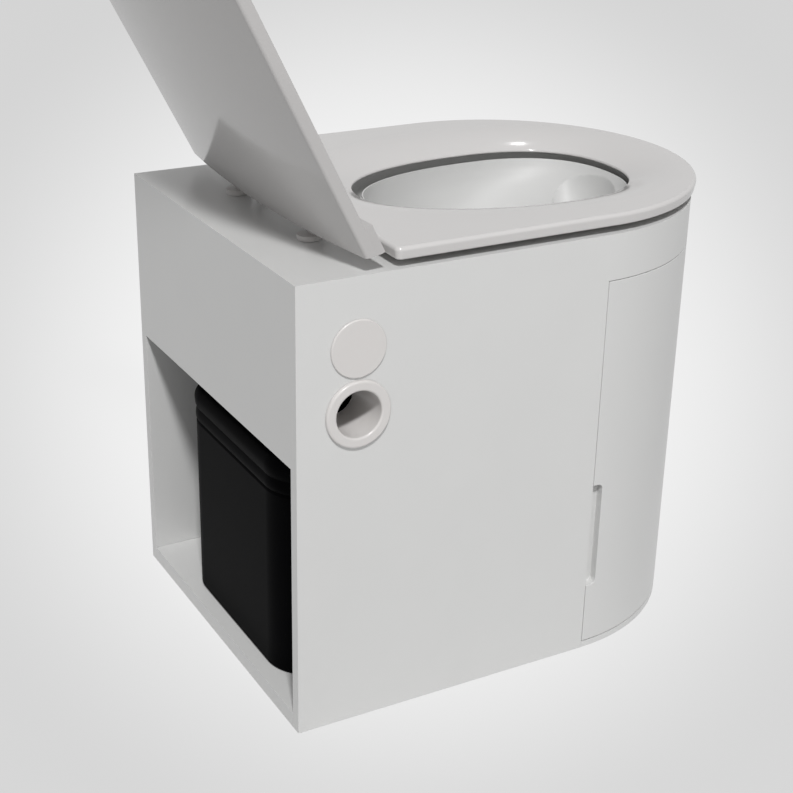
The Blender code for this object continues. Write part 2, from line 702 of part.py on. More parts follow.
def make_hinge(side, name, white, steel):
    """One deck hinge: post, pin, bolt and wing nut."""
    base = DECK_HEIGHT + FIT
    x = side * HINGE_X
    disc = rod("post", POST_DISC_RADIUS, base, base + POST_DISC_HEIGHT, (x, POST_Y, 0), steps=24)
    post = add_object(f"hinge_post_{name}", disc, white)
    half = POST_WIDTH / 2
    turn = math.degrees(math.acos(POST_DEPTH / 2 / KNUCKLE_RADIUS))
    low = base + POST_DISC_HEIGHT / 2
    side_view = [(HINGE_Y - POST_DEPTH / 2, low), (HINGE_Y + POST_DEPTH / 2, low)]
    side_view += arc((HINGE_Y, HINGE_Z), KNUCKLE_RADIUS, -turn, 180 + turn, 20)
    join(post, prism("stem", side_view, x - half, x + half, "X"))
    bore = (PIN_RADIUS + FIT, x - POST_WIDTH, x + POST_WIDTH, (0, HINGE_Y, HINGE_Z), "X")
    cut(post, rod("pin_bore", *bore))
    top = base + POST_DISC_HEIGHT * BLIND_SHARE
    thread = (BOLT_RADIUS + FIT, base - OVERRUN, top, (x, POST_Y, 0))
    cut(post, rod("bolt_bore", *thread, steps=12))
    ends = sorted((side * PIN_INBOARD, side * PIN_OUTBOARD))
    pin = rod("pin", PIN_RADIUS, *ends, (0, HINGE_Y, HINGE_Z), "X")
    add_object(f"hinge_pin_{name}", pin, steel)
    top -= FIT
    bolt = rod("bolt", BOLT_RADIUS, top - BOLT_LENGTH, top, (x, POST_Y, 0), steps=12)
    add_object(f"hinge_bolt_{name}", bolt, steel)
    under = DECK_HEIGHT - WALL - FIT
    hub = rod("hub", WING_NUT_RADIUS, under - WING_NUT_HEIGHT, under, (x, POST_Y, 0), steps=16)
    nut = add_object(f"wing_nut_{name}", hub, white)
    wings = box_outline(
        (x - WING_SPAN / 2, POST_Y - WING_THICKNESS / 2),
        (x + WING_SPAN / 2, POST_Y + WING_THICKNESS / 2),
    )
    join(nut, prism("wings", wings, under - 2 * WING_NUT_HEIGHT, under - WING_THICKNESS))
    hole = (BOLT_RADIUS + FIT, under - 3 * WING_NUT_HEIGHT, under + OVERRUN, (x, POST_Y, 0))
    cut(nut, rod("nut_bore", *hole, steps=12))


def seat_outline(inset=0.0):
    """The seat's plan: straight rear with small corners, straight sides and a half-round front."""
    half = SEAT_HALF_WIDTH - inset
    rear = SEAT_REAR_Y - inset
    corner = SEAT_CORNER - inset * SEAT_CORNER / (SEAT_CORNER + inset)
    right = arc((half - corner, rear - corner), corner, 0, 90, 4)
    left = arc((corner - half, rear - corner), corner, 90, 180, 4)
    steps = 8
    back = [(half - corner - 2 * (half - corner) * i / steps, rear) for i in range(1, steps)]
    length = rear - corner - SEAT_ROUND_Y
    down = [(-half, rear - corner - length * i / steps) for i in range(1, steps)]
    up = [(half, SEAT_ROUND_Y + length * i / steps) for i in range(1, steps)]
    return right + back + left + down + arc((0, SEAT_ROUND_Y), half, 180, 360, ROUND_STEPS) + up


def hole_point(x, y, grow):
    """The point of the seat's hole that lies towards (x, y), moved outwards by a distance."""
    dx, dy = x, y - SEAT_HOLE_WIDE_Y
    reach_y = SEAT_HOLE_REAR if dy > 0 else SEAT_HOLE_FRONT
    reach = (abs(dx) / SEAT_HOLE_X) ** BOWL_POWER + (abs(dy) / reach_y) ** BOWL_POWER
    scale = reach ** (-1 / BOWL_POWER)
    scale += grow / math.hypot(dx, dy)
    return (dx * scale, SEAT_HOLE_WIDE_Y + dy * scale)


def make_seat(white, rubber, axis, pivot_empty):
    """The D-shaped seat with a dished top, hinge lugs and buffers."""

    def ring(grow, z):
        return [(*hole_point(x, y, grow), z) for x, y in seat_outline()]

    def edge(inset, z):
        return at_height(seat_outline(inset), z)

    rise = SEAT_TOP - SEAT_LIP_Z
    levels = [ring(SEAT_DISH_WIDTH * run, SEAT_LIP_Z + rise * up) for run, up in DISH_SHARES]
    soft = SEAT_EDGE_ROUND
    bow = soft * BOW_SHARE
    levels += [edge(soft, SEAT_TOP), edge(bow, SEAT_TOP - bow)]
    levels += [edge(0, SEAT_TOP - soft), edge(0, SEAT_UNDERSIDE + soft)]
    levels += [edge(bow, SEAT_UNDERSIDE + bow), edge(soft, SEAT_UNDERSIDE)]
    fall = SEAT_UNDERSIDE - SEAT_LIP_Z
    levels += [ring(SEAT_DISH_WIDTH * run, SEAT_LIP_Z + fall * up) for run, up in LIP_SHARES]
    moved = [[(x, y - axis[1], z - axis[2]) for x, y, z in level] for level in levels]
    seat = add_object("seat", loft("seat", moved, closed=True), white, pivot_empty)
    for side in (-1, 1):
        add_lug(seat, side, axis)
    for name, x, y in buffer_places():
        pad = (BUFFER_RADIUS, DECK_HEIGHT + FIT - axis[2], SEAT_UNDERSIDE - FIT - axis[2])
        shape = rod("pad", *pad, (x, y - axis[1], 0), edge=BUFFER_EDGE)
        add_object(f"seat_buffer_{name}", shape, rubber, pivot_empty)


def lug_edges(side):
    """The seat lug's two faces, inboard of the post."""
    outer = HINGE_X - POST_WIDTH / 2 - LUG_GAP
    return sorted((side * outer, side * (outer - LUG_WIDTH)))


def add_lug(seat, side, axis):
    """An arm from the seat's rear edge to the hinge pin."""
    low, high = lug_edges(side)
    front = SEAT_REAR_Y - axis[1] - 2 * SEAT_CORNER
    bottom = SEAT_UNDERSIDE + SEAT_EDGE_ROUND - axis[2]
    top = SEAT_TOP - SEAT_EDGE_ROUND / 2 - axis[2]
    side_view = [(front, top), (front, bottom), (0, -KNUCKLE_RADIUS)]
    side_view += arc((0, 0), KNUCKLE_RADIUS, -90, 180, 18)[1:]
    side_view += [(-2 * KNUCKLE_RADIUS, top)]
    join(seat, prism("lug", side_view, low, high, "X"))
    cut(seat, rod("lug_bore", PIN_RADIUS + FIT, low - OVERRUN, high + OVERRUN, axis="X"))


def buffer_reach(angle):
    """How far from the centre of the round front a buffer stands: midway from bowl flange to edge."""
    turn = math.radians(angle)
    flange = hole_oval(FLANGE_SET + BOWL_WALL + FLANGE_WIDTH)
    ends = [x * math.cos(turn) + (SEAT_ROUND_Y - y) * math.sin(turn) for x, y in flange]
    return (SEAT_HALF_WIDTH + max(ends)) / 2


def buffer_places():
    """The four buffers under the seat, as (name, x, y)."""
    turn = math.radians(BUFFER_DEG)
    reach = buffer_reach(BUFFER_DEG)
    rear = (buffer_reach(0), SEAT_REAR_Y - BUFFER_INSET)
    front = (reach * math.cos(turn), SEAT_ROUND_Y - reach * math.sin(turn))
    sides = (("left", -1), ("right", 1))
    ends = (("rear", rear), ("front", front))
    return [(f"{end}_{side}", sign * x, y) for end, (x, y) in ends for side, sign in sides]


def lid_outline(inset):
    """The lid's plan seen from its axis: like the seat's, with a straight rear in short steps."""
    half = LID_HALF_WIDTH - inset
    steps = ROUND_STEPS // 2
    rear = [(half - 2 * half * i / steps, LID_REAR - inset) for i in range(steps + 1)]
    return rear + arc((0, SEAT_ROUND_Y - HINGE_Y), half, 180, 360, ROUND_STEPS)


def lid_top(x, y):
    """The height of the lid's crowned top, which falls from its middle line to its edges."""
    front = min(0, y - SEAT_ROUND_Y + HINGE_Y)
    share = (x**2 + front**2) / LID_HALF_WIDTH**2
    return LID_UNDERSIDE + LID_THICKNESS + LID_CROWN * max(0, 1 - share)


def make_lid(white, rubber, pivot_empty):
    """The D-shaped lid with its hinge bar, notched for the posts, and its buffers."""
    soft = LID_EDGE_ROUND
    bow = soft * BOW_SHARE

    def crowned(outline, drop):
        return [(x, y, lid_top(x, y) - drop) for x, y in outline]

    levels = [at_height(lid_outline(soft), LID_UNDERSIDE)]
    levels += [at_height(lid_outline(bow), LID_UNDERSIDE + bow)]
    levels += [at_height(lid_outline(0), LID_UNDERSIDE + soft)]
    levels += [crowned(lid_outline(0), soft), crowned(lid_outline(bow), bow)]
    levels += [crowned(lid_outline(soft), 0)]
    middle = (LID_REAR + SEAT_ROUND_Y - HINGE_Y) / 2
    for share in CROWN_SHARES:
        inner = [(x * share, middle + (y - middle) * share) for x, y in lid_outline(soft)]
        levels.append(crowned(inner, 0))
    lid = add_object("lid", loft("lid", levels), white, pivot_empty)
    bar = box_outline((BAR_FRONT, BAR_BOTTOM), (LID_REAR, LID_UNDERSIDE + soft))
    end = LID_HALF_WIDTH - BAR_INSET
    join(lid, prism("bar", bar, -end, end, "X"))
    for side in (-1, 1):
        cut_notch(lid, side)
    for name, x, y in buffer_places():
        pad = (LID_BUFFER_RADIUS, SEAT_TOP - HINGE_Z + FIT, LID_UNDERSIDE - FIT)
        shape = rod("pad", *pad, (x, y - HINGE_Y, 0))
        add_object(f"lid_buffer_{name}", shape, rubber, pivot_empty)


def cut_notch(lid, side):
    """Room in the lid's bar for a post and a seat lug, from shut to fully open."""
    inboard = lug_edges(side)[0 if side > 0 else 1] - side * NOTCH_CLEARANCE
    outboard = side * (HINGE_X + POST_WIDTH / 2 + NOTCH_CLEARANCE)
    ends = sorted((inboard, outboard))
    room = KNUCKLE_RADIUS + NOTCH_CLEARANCE
    cut(lid, rod("notch_round", room, *ends, axis="X", steps=24))
    lean = math.radians(LID_OPEN_DEG - 90)
    stem = POST_DEPTH / 2 + NOTCH_CLEARANCE
    far = 3 * room
    sweep = [(-stem, -far), (far, -far)]
    rise = (math.cos(lean), math.sin(lean))
    sweep += [(far * rise[0] - stem * rise[1], far * rise[1] + stem * rise[0])]
    sweep += [(-stem * rise[1], stem * rise[0]), (-stem, 0)]
    cut(lid, prism("notch_sweep", sweep, *ends, "X"))
    below = box_outline((BAR_FRONT - OVERRUN, BAR_BOTTOM - OVERRUN), (0, 0))
    cut(lid, prism("notch_front", below, *ends, "X"))
    bore = sorted((side * (PIN_INBOARD - FIT), side * (PIN_OUTBOARD + FIT)))
    cut(lid, rod("pin_bore", PIN_RADIUS + FIT, *bore, axis="X"))


def make_bin(black, place, slide_empty):
    """The solids bin: rounded box, grooved under a rolled rim, open at the top."""
    half = (BIN_WIDTH / 2, BIN_DEPTH / 2)

    def ring(grow, z):
        low = (-half[0] - grow, -half[1] - grow)
        high = (half[0] + grow, half[1] + grow)
        return at_height(rounded_box(low, high, BIN_CORNER + grow), z - place[2])

    base = FLOOR_THICKNESS + FIT
    band = BIN_RIM_TOP - BIN_RIM_BOTTOM
    inner = -BIN_WALL - BIN_GROOVE
    levels = [ring(-BIN_WALL, base), ring(0, base + BIN_WALL)]
    levels += [ring(0, BIN_RIM_BOTTOM - BIN_GROOVE), ring(-BIN_GROOVE, BIN_RIM_BOTTOM)]
    levels += [ring(BIN_RIM_PROUD * run, BIN_RIM_BOTTOM + band * up) for run, up in BAND_SHARES]
    levels += [ring(-BIN_GROOVE, BIN_HEIGHT - BIN_GROOVE), ring(-BIN_GROOVE * 2, BIN_HEIGHT)]
    levels += [ring(inner, BIN_HEIGHT), ring(inner, base + 2 * BIN_WALL)]
    levels += [ring(inner - BIN_WALL, base + BIN_WALL)]
    add_object("solids_bin", loft("solids_bin", levels), black, slide_empty)


def neck_place():
    """The axis of the canister's neck, under the drain."""
    return (0, DRAIN_Y)


def canister_box(inset):
    """The canister's plan, drawn in by an inset."""
    front = CANISTER_REAR_Y - CANISTER_DEPTH
    low = (-CANISTER_WIDTH / 2 + inset, front + inset)
    high = (CANISTER_WIDTH / 2 - inset, CANISTER_REAR_Y - inset)
    return rounded_box(low, high, CANISTER_CORNER - inset)


def canister_body(name, inset):
    """The canister's body, drawn in all round by an inset."""
    wall = CANISTER_WALL
    base = FLOOR_THICKNESS + FIT + inset
    shoulder = FLOOR_THICKNESS + FIT + CANISTER_HEIGHT
    levels = [at_height(canister_box(inset + wall), base)]
    levels += [at_height(canister_box(inset), z) for z in (base + wall, shoulder - CANISTER_CORNER)]
    levels += [at_height(canister_box(inset + wall), shoulder - inset - wall)]
    levels += [at_height(canister_box(inset + 2 * wall), shoulder - inset)]
    return loft(name, levels)


def make_canister(clear, grey, cap_empty):
    """The liquids canister behind the door, and its quarter-turn inlet cap."""
    wall = CANISTER_WALL
    can = add_object("liquids_canister", canister_body("liquids_canister", 0), clear)
    shoulder = FLOOR_THICKNESS + FIT + CANISTER_HEIGHT
    mouth = shoulder + NECK_HEIGHT
    neck = (*neck_place(), 0)
    join(can, rod("neck", NECK_RADIUS, shoulder - wall / 2, mouth, neck, steps=ROUND_STEPS))
    cut(can, canister_body("inside", wall))
    bore = (NECK_RADIUS - wall, shoulder - 2 * wall, mouth + OVERRUN, neck)
    cut(can, rod("neck_bore", *bore, steps=ROUND_STEPS))
    outer = NECK_RADIUS + FIT + CAP_WALL
    top = NECK_HEIGHT + FIT + CAP_WALL
    low = wall + FIT
    flutes = 2 * CAP_FLUTES

    def fluted(z):
        radii = (outer, outer - CAP_WALL / 4)
        angles = [FULL_TURN * i / flutes for i in range(flutes)]
        return [
            (radii[i % 2] * math.cos(a), radii[i % 2] * math.sin(a), z) for i, a in enumerate(angles)
        ]

    def plain(radius, z):
        angles = [FULL_TURN * i / flutes for i in range(flutes)]
        return [(radius * math.cos(a), radius * math.sin(a), z) for a in angles]

    bore = NECK_RADIUS + FIT
    rings = [fluted(top), fluted(low), plain(bore, low), plain(bore, top - CAP_WALL)]
    rings += [plain(CAP_INLET_RADIUS, top - CAP_WALL), plain(CAP_INLET_RADIUS + CAP_WALL, top)]
    add_object("canister_cap", loft("canister_cap", rings, closed=True), grey, cap_empty)


def build():
    """The whole toilet, in its rest position."""
    clear_scene()
    white = plastic("white_plastic", (0.66, 0.66, 0.64), 0.42)
    gloss = plastic("gloss_white", (0.62, 0.60, 0.59), 0.18)
    grey = plastic("grey_plastic", (0.20, 0.20, 0.20), 0.5)
    black = plastic("black_plastic", (0.012, 0.012, 0.012), 0.55)
    clear = plastic("natural_plastic", (0.72, 0.72, 0.66), 0.4)
    rubber = plastic("rubber", (0.05, 0.05, 0.05), 0.7)
    steel = plastic("stainless_steel", (0.55, 0.55, 0.54), 0.3, 1.0)
    make_cabinet_shell(white)
    make_floor_plate(white)
    make_partition(white)
    make_door(white, steel, joint("door_hinge", (*door_pivot(), 0)))
    make_bowl_insert(gloss)
    make_drop_skirt(grey)
    make_drain_spout(grey)
    make_vent(gloss)
    make_badge_disc(gloss)
    for side, name in ((-1, "left"), (1, "right")):
        make_hinge(side, name, gloss, steel)
    axis = (0, HINGE_Y, HINGE_Z)
    make_seat(gloss, rubber, axis, joint("seat_hinge", axis))
    lid_pivot = joint("lid_hinge", axis)
    lid_pivot.rotation_euler.x = -math.radians(LID_OPEN_DEG)
    make_lid(gloss, rubber, lid_pivot)
    bin_place = (BIN_CENTRE_X, BIN_REAR_Y - BIN_DEPTH / 2, FLOOR_THICKNESS)
    make_bin(black, bin_place, joint("bin_slide", bin_place))
    cap_place = (*neck_place(), FLOOR_THICKNESS + FIT + CANISTER_HEIGHT)
    make_canister(clear, grey, joint("cap_turn", cap_place))


build()
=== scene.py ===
# %% [markdown]
# # A composting toilet, dressed for a studio picture
# The construction comes ready made: every solid piece at its real size, with its joints. This script
# gives the pieces that show a fine surface and a finish, then sets up the camera, the floor and the
# light.

# %% Load the frame
import math

import bpy
import numpy as np
from mathutils import Matrix, Vector


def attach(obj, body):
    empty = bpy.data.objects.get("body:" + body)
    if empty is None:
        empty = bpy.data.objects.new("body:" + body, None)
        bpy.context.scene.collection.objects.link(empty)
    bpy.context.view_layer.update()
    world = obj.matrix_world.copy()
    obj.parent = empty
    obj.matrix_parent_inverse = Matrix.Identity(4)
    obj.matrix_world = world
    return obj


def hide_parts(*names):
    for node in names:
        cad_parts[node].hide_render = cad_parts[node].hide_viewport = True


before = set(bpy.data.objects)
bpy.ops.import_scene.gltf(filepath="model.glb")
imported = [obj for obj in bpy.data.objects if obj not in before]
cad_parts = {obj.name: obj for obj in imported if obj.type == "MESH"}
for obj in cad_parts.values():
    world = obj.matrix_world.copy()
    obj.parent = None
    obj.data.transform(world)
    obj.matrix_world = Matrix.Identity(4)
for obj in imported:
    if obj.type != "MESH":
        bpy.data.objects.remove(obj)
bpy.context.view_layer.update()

# %% [markdown]
# ## The camera
# The picture is a long-lens product shot from behind the vent side, a little above the lid's hinge. The
# camera is placed by its position and the point it looks at, then rolled by about one degree, as the
# photographer's was.

# %% Place the camera
CAMERA_PLACE = Vector((-1.2887, 0.7775, 0.8804))
CAMERA_TARGET = Vector((-0.18806, 0.15699, 0.32579))
CAMERA_ROLL = math.radians(1.18)
SENSOR = 36.0
LENS = 70.77


def add_camera():
    """A camera that looks along its own -Z: back, right and up are the columns of its matrix."""
    back = (CAMERA_PLACE - CAMERA_TARGET).normalized()
    right = Vector((0, 0, 1)).cross(back).normalized()
    up = back.cross(right)
    right, up = (
        right * math.cos(CAMERA_ROLL) + up * math.sin(CAMERA_ROLL),
        up * math.cos(CAMERA_ROLL) - right * math.sin(CAMERA_ROLL),
    )
    data = bpy.data.cameras.new("studio_camera")
    data.sensor_width = SENSOR
    data.lens = LENS
    camera = bpy.data.objects.new("studio_camera", data)
    camera.matrix_world = Matrix.Translation(CAMERA_PLACE) @ Matrix((right, up, back)).transposed().to_4x4()
    bpy.context.scene.collection.objects.link(camera)
    bpy.context.scene.camera = camera
    return camera


camera = add_camera()
print("camera at", tuple(round(v, 3) for v in camera.location))

# %% [markdown]
# ## Surfaces from numbers
# Every new piece is a surface worked out with numpy. An outline is an array of (x, y) points. A piece is
# a stack of outlines at different heights, joined by quads, so a whole moulding comes from one small
# table of insets and heights. Rounded edges are quarter circles in that table, which catch the light as
# real mould radii do.

# %% Arcs and outlines
STEPS = 96
SMALL_STEPS = 24
OVAL_STEPS = 192
OVAL_POWER = 2.3


def arc(centre, radius, start, end, steps):
    """Points on a circle: centre + radius * (cos a, sin a), for a from start to end in degrees."""
    a = np.radians(np.linspace(start, end, steps + 1))
    return np.stack([centre[0] + radius * np.cos(a), centre[1] + radius * np.sin(a)], -1)


def line(start, end, steps):
    """Evenly spaced points from start towards end, the end itself left out."""
    t = np.arange(steps)[:, None] / steps
    return np.asarray(start) * (1 - t) + np.asarray(end) * t


def d_outline(half, rear, round_y, corner=0.0, steps=STEPS):
    """A straight rear with small round corners, straight sides and a half-round front, anticlockwise."""
    quarter = max(6, steps // 12) if corner else 0
    right = arc((half - corner, rear - corner), corner, 0, 90, quarter)[: quarter + 1]
    left = arc((corner - half, rear - corner), corner, 90, 180, quarter)[: quarter + 1]
    parts = [
        right,
        line((half - corner, rear), (corner - half, rear), steps // 4)[1:],
        left,
        line((-half, rear - corner), (-half, round_y), steps // 4)[1:],
        arc((0, round_y), half, 180, 360, steps),
        line((half, round_y), (half, rear - corner), steps // 4)[1:],
    ]
    return np.concatenate(parts)


def rounded_box(low, high, radius, steps=16):
    """A rectangle with four quarter-circle corners, anticlockwise."""
    (x0, y0), (x1, y1) = low, high
    corners = [(x1 - radius, y1 - radius), (x0 + radius, y1 - radius)]
    corners += [(x0 + radius, y0 + radius), (x1 - radius, y0 + radius)]
    return np.concatenate([arc(c, radius, 90 * i, 90 * i + 90, steps) for i, c in enumerate(corners)])


def oval(half, rear, front, wide_y, steps=OVAL_STEPS, power=OVAL_POWER):
    """|x/a|^p + |y/b|^p = 1 about its widest place; b is one length to the rear and another to the front."""
    a = np.linspace(0, 2 * np.pi, steps, endpoint=False)
    c, s = np.cos(a), np.sin(a)
    x = half * np.sign(c) * np.abs(c) ** (2 / power)
    y = np.where(s > 0, rear, front) * np.sign(s) * np.abs(s) ** (2 / power)
    return np.stack([x, wide_y + y], -1)


def lift(outline, z):
    """The outline as three-dimensional points at one height."""
    return np.column_stack([outline, np.full(len(outline), z)])


print("a half-round front in", len(arc((0, 0), 1, 180, 360, STEPS)), "points")

# %% [markdown]
# A stack of outlines with the same number of points becomes a mesh by joining each point to the one
# beside it and the one above it. The signed volume tells whether the faces point outwards, so that a skin
# that is inside out is turned.

# %% From arrays to a mesh
def quads(rows, columns, wrap):
    """Index quads of a grid whose columns close on themselves, and whose rows do where wrap is true."""
    i = np.arange(rows if wrap else rows - 1)[:, None] * columns
    j = np.arange(columns)[None, :]
    following = (i + columns) % (rows * columns)
    after = (j + 1) % columns
    return np.stack([i + j, i + after, following + after, following + j], -1).reshape(-1, 4)


def mesh_of(name, points, faces):
    """A mesh from an array of points and a list of faces."""
    mesh = bpy.data.meshes.new(name)
    mesh.from_pydata(np.asarray(points).tolist(), [], faces)
    mesh.update()
    return mesh


def loft(name, levels, wrap=False):
    """A skin over stacked outlines, faces outwards. Its ends are capped, or meet where wrap is true."""
    levels = np.asarray(levels)
    rows, columns = levels.shape[:2]
    faces = quads(rows, columns, wrap).tolist()
    if not wrap:
        faces += [list(range(columns))[::-1], list(range((rows - 1) * columns, rows * columns))]
    mesh = mesh_of(name, levels.reshape(-1, 3), faces)
    if volume(mesh) < 0:
        mesh.flip_normals()
    return mesh


def volume(mesh):
    """The signed volume of a closed mesh: positive when its faces point outwards."""
    mesh.calc_loop_triangles()
    corners = np.empty(len(mesh.loop_triangles) * 3, np.int32)
    mesh.loop_triangles.foreach_get("vertices", corners)
    points = np.empty(len(mesh.vertices) * 3)
    mesh.vertices.foreach_get("co", points)
    triangles = points.reshape(-1, 3)[corners.reshape(-1, 3)]
    return float(np.linalg.det(triangles).sum() / 6)


def prism(name, outline, low, high, axis=2):
    """An outline pulled straight along an axis: 2 is up, 0 is sideways with the outline in (y, z)."""
    levels = np.stack([lift(outline, low), lift(outline, high)])
    if axis == 0:
        levels = levels[..., [2, 0, 1]]
    return loft(name, levels)


def turned(name, profile, centre, axis=2, steps=STEPS, wrap=False):
    """A profile of (radius, height) spun round an axis through the centre."""
    radius, height = np.asarray(profile, float).T
    a = np.linspace(0, 2 * np.pi, steps, endpoint=False)
    ring = np.stack([np.cos(a), np.sin(a), np.zeros(steps)], -1)
    levels = radius[:, None, None] * ring + height[:, None, None] * np.array([0, 0, 1.0])
    if axis == 0:
        levels = levels[..., [2, 0, 1]]
    return loft(name, levels + np.asarray(centre, float), wrap)


test = turned("test", [(1, 0), (1, 1)], (0, 0, 0))
print("volume of a unit disc 1 m thick:", round(volume(test), 3), "m3")
bpy.data.meshes.remove(test)

# %% [markdown]
# Where a real tool would drill, mill or cut, an exact Boolean does the same. A bevel then rounds the hard
# edges to the radius of the mould. A finished piece rides on one body of the construction, so it moves as
# that body moves, and it takes the place of the plainer solid that it was worked out from.

# %% Carve, round and place a piece
def boolean(body, operation, meshes):
    """Exact Booleans of helper meshes on a body. The helpers come back, to be removed afterwards."""
    helpers = []
    for mesh in meshes:
        tool = bpy.data.objects.new("tool", mesh)
        bpy.context.scene.collection.objects.link(tool)
        step = body.modifiers.new("carve", "BOOLEAN")
        step.operation, step.object, step.solver = operation, tool, "EXACT"
        helpers.append(tool)
    return helpers


def carve(mesh, joins=(), cuts=(), radius=0.0, after=(), segments=3, angle=40):
    """The mesh with others joined on and cut away, its hard edges rounded, and small bores made last."""
    body = bpy.data.objects.new("blank", mesh)
    bpy.context.scene.collection.objects.link(body)
    helpers = boolean(body, "UNION", joins) + boolean(body, "DIFFERENCE", cuts)
    if radius:
        edge = body.modifiers.new("rounding", "BEVEL")
        edge.width, edge.segments = radius, segments
        edge.limit_method, edge.angle_limit = "ANGLE", math.radians(angle)
    helpers += boolean(body, "DIFFERENCE", after)
    graph = bpy.context.evaluated_depsgraph_get()
    graph.update()
    done = bpy.data.meshes.new_from_object(body.evaluated_get(graph), depsgraph=graph)
    for used in [body] + helpers:
        bpy.data.objects.remove(used, do_unlink=True)
    return done


def place_piece(name, mesh, body, material, nodes=(), sharp=None):
    """A finished piece: named, smooth, weighted so that flats stay flat, riding on its body."""
    mesh.name = name
    piece = bpy.data.objects.new(name, mesh)
    bpy.context.scene.collection.objects.link(piece)
    mesh.materials.clear()
    mesh.materials.append(material)
    mesh.shade_smooth()
    if sharp:
        mesh.set_sharp_from_angle(angle=math.radians(sharp))
    weigh = piece.modifiers.new("flats stay flat", "WEIGHTED_NORMAL")
    weigh.keep_sharp = True
    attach(piece, body)
    if nodes:
        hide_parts(*nodes)
    print(f"{name}: {len(mesh.polygons)} faces")
    return piece


def rod(radius, low, high, centre=(0, 0, 0), axis=2, steps=48):
    """A plain round cutter or bar from low to high along an axis."""
    return turned("rod", [(radius, low), (radius, high)], centre, axis, steps)

# %% [markdown]
# ## Finishes
# Each material starts from what the real part is made of. Procedural detail is in millimetres: the grain
# that spark erosion leaves in a mould, the faint ripple of a pressed gloss surface, the matt skin of a
# black bin.

# %% Colour and node helpers
def linear(code):
    """An sRGB hex colour as linear RGBA: ((c + 0.055) / 1.055) ^ 2.4, or c / 12.92 when dark."""
    c = np.array([int(code[i : i + 2], 16) / 255 for i in (1, 3, 5)])
    return (*np.where(c <= 0.04045, c / 12.92, ((c + 0.055) / 1.055) ** 2.4).tolist(), 1.0)


def add(tree, kind, inputs=None, **settings):
    """One node, with its settings, and with each input either linked or set."""
    node = tree.nodes.new(kind)
    for name, value in settings.items():
        setattr(node, name, value)
    for socket, value in (inputs or {}).items():
        if isinstance(value, bpy.types.NodeSocket):
            tree.links.new(value, node.inputs[socket])
        else:
            node.inputs[socket].default_value = value
    return node


def start_material(name):
    """An empty node material with its output and a Principled shader: (material, tree, shader)."""
    material = bpy.data.materials.new(name)
    material.use_nodes = True
    tree = material.node_tree
    tree.nodes.clear()
    shader = add(tree, "ShaderNodeBsdfPrincipled")
    output = add(tree, "ShaderNodeOutputMaterial")
    tree.links.new(shader.outputs["BSDF"], output.inputs["Surface"])
    return material, tree, shader


def noise(tree, millimetres, detail=2.0, roughness=0.5):
    """Noise on Object coordinates whose lumps are about that many millimetres apart."""
    here = add(tree, "ShaderNodeTexCoord").outputs["Object"]
    settings = {"Vector": here, "Scale": 1000.0 / millimetres, "Detail": detail, "Roughness": roughness}
    return add(tree, "ShaderNodeTexNoise", settings).outputs["Fac"]


def spread(tree, value, low, high):
    """A 0 to 1 value, mapped to run from low to high."""
    inputs = {0: value, 3: low, 4: high}
    return add(tree, "ShaderNodeMapRange", inputs, clamp=True).outputs["Result"]


def between(tree, value, code_a, code_b):
    """A colour between two hex colours, by a 0 to 1 value."""
    mix = add(tree, "ShaderNodeMix", {"Factor": value}, data_type="RGBA")
    mix.inputs["A"].default_value = linear(code_a)
    mix.inputs["B"].default_value = linear(code_b)
    return mix.outputs["Result"]


def dents(tree, height, depth_mm, strength):
    """A bump from a 0 to 1 height that is depth_mm deep."""
    inputs = {"Height": height, "Distance": depth_mm / 1000, "Strength": strength}
    return add(tree, "ShaderNodeBump", inputs).outputs["Normal"]


print("#d9d9d7 in linear light:", [round(v, 3) for v in linear("#d9d9d7")[:3]])

# %% [markdown]
# A real plastic is never one flat colour. Its pigment clouds a little over some centimetres, and its
# gloss changes with the grain of the mould. Both are noise on Object coordinates, so the pattern stays at
# its real size and moves with the piece. The refractive index is the plastic's own, and steel is a full
# metal.

# %% The plastics, the rubber and the steel
def moulded_plastic(name, light, dark, roughness, grain_mm, grain_depth_mm, ior=1.49, shine=0.5):
    """Moulded plastic: blotches of colour a few centimetres wide, and an eroded mould grain in the gloss."""
    material, tree, shader = start_material(name)
    cloud = noise(tree, 60, 3)
    grain = noise(tree, grain_mm, 3, 0.6)
    tree.links.new(between(tree, cloud, light, dark), shader.inputs["Base Color"])
    tree.links.new(spread(tree, grain, roughness - 0.05, roughness + 0.05), shader.inputs["Roughness"])
    tree.links.new(dents(tree, grain, grain_depth_mm, 0.5), shader.inputs["Normal"])
    shader.inputs["IOR"].default_value = ior
    shader.inputs["Specular IOR Level"].default_value = shine
    return material


def pressed_gloss(name, light, dark, roughness, ripple_mm=14, ior=1.55):
    """Compression-moulded urea resin: a hard gloss with the faint long ripple of a polished press tool."""
    material, tree, shader = start_material(name)
    cloud = noise(tree, 80, 2)
    ripple = noise(tree, ripple_mm, 1, 0.4)
    haze = noise(tree, 4, 3)
    tree.links.new(between(tree, cloud, light, dark), shader.inputs["Base Color"])
    tree.links.new(spread(tree, haze, roughness - 0.03, roughness + 0.04), shader.inputs["Roughness"])
    tree.links.new(dents(tree, ripple, 0.02, 0.35), shader.inputs["Normal"])
    shader.inputs["IOR"].default_value = ior
    return material


def turned_steel(name):
    """Turned stainless steel: fine rings of brightness along each pin and bolt."""
    material, tree, shader = start_material(name)
    rings = noise(tree, 0.6, 2)
    tree.links.new(between(tree, rings, "#c3c3c0", "#a9aaa8"), shader.inputs["Base Color"])
    tree.links.new(spread(tree, rings, 0.22, 0.38), shader.inputs["Roughness"])
    shader.inputs["Metallic"].default_value = 1.0
    return material


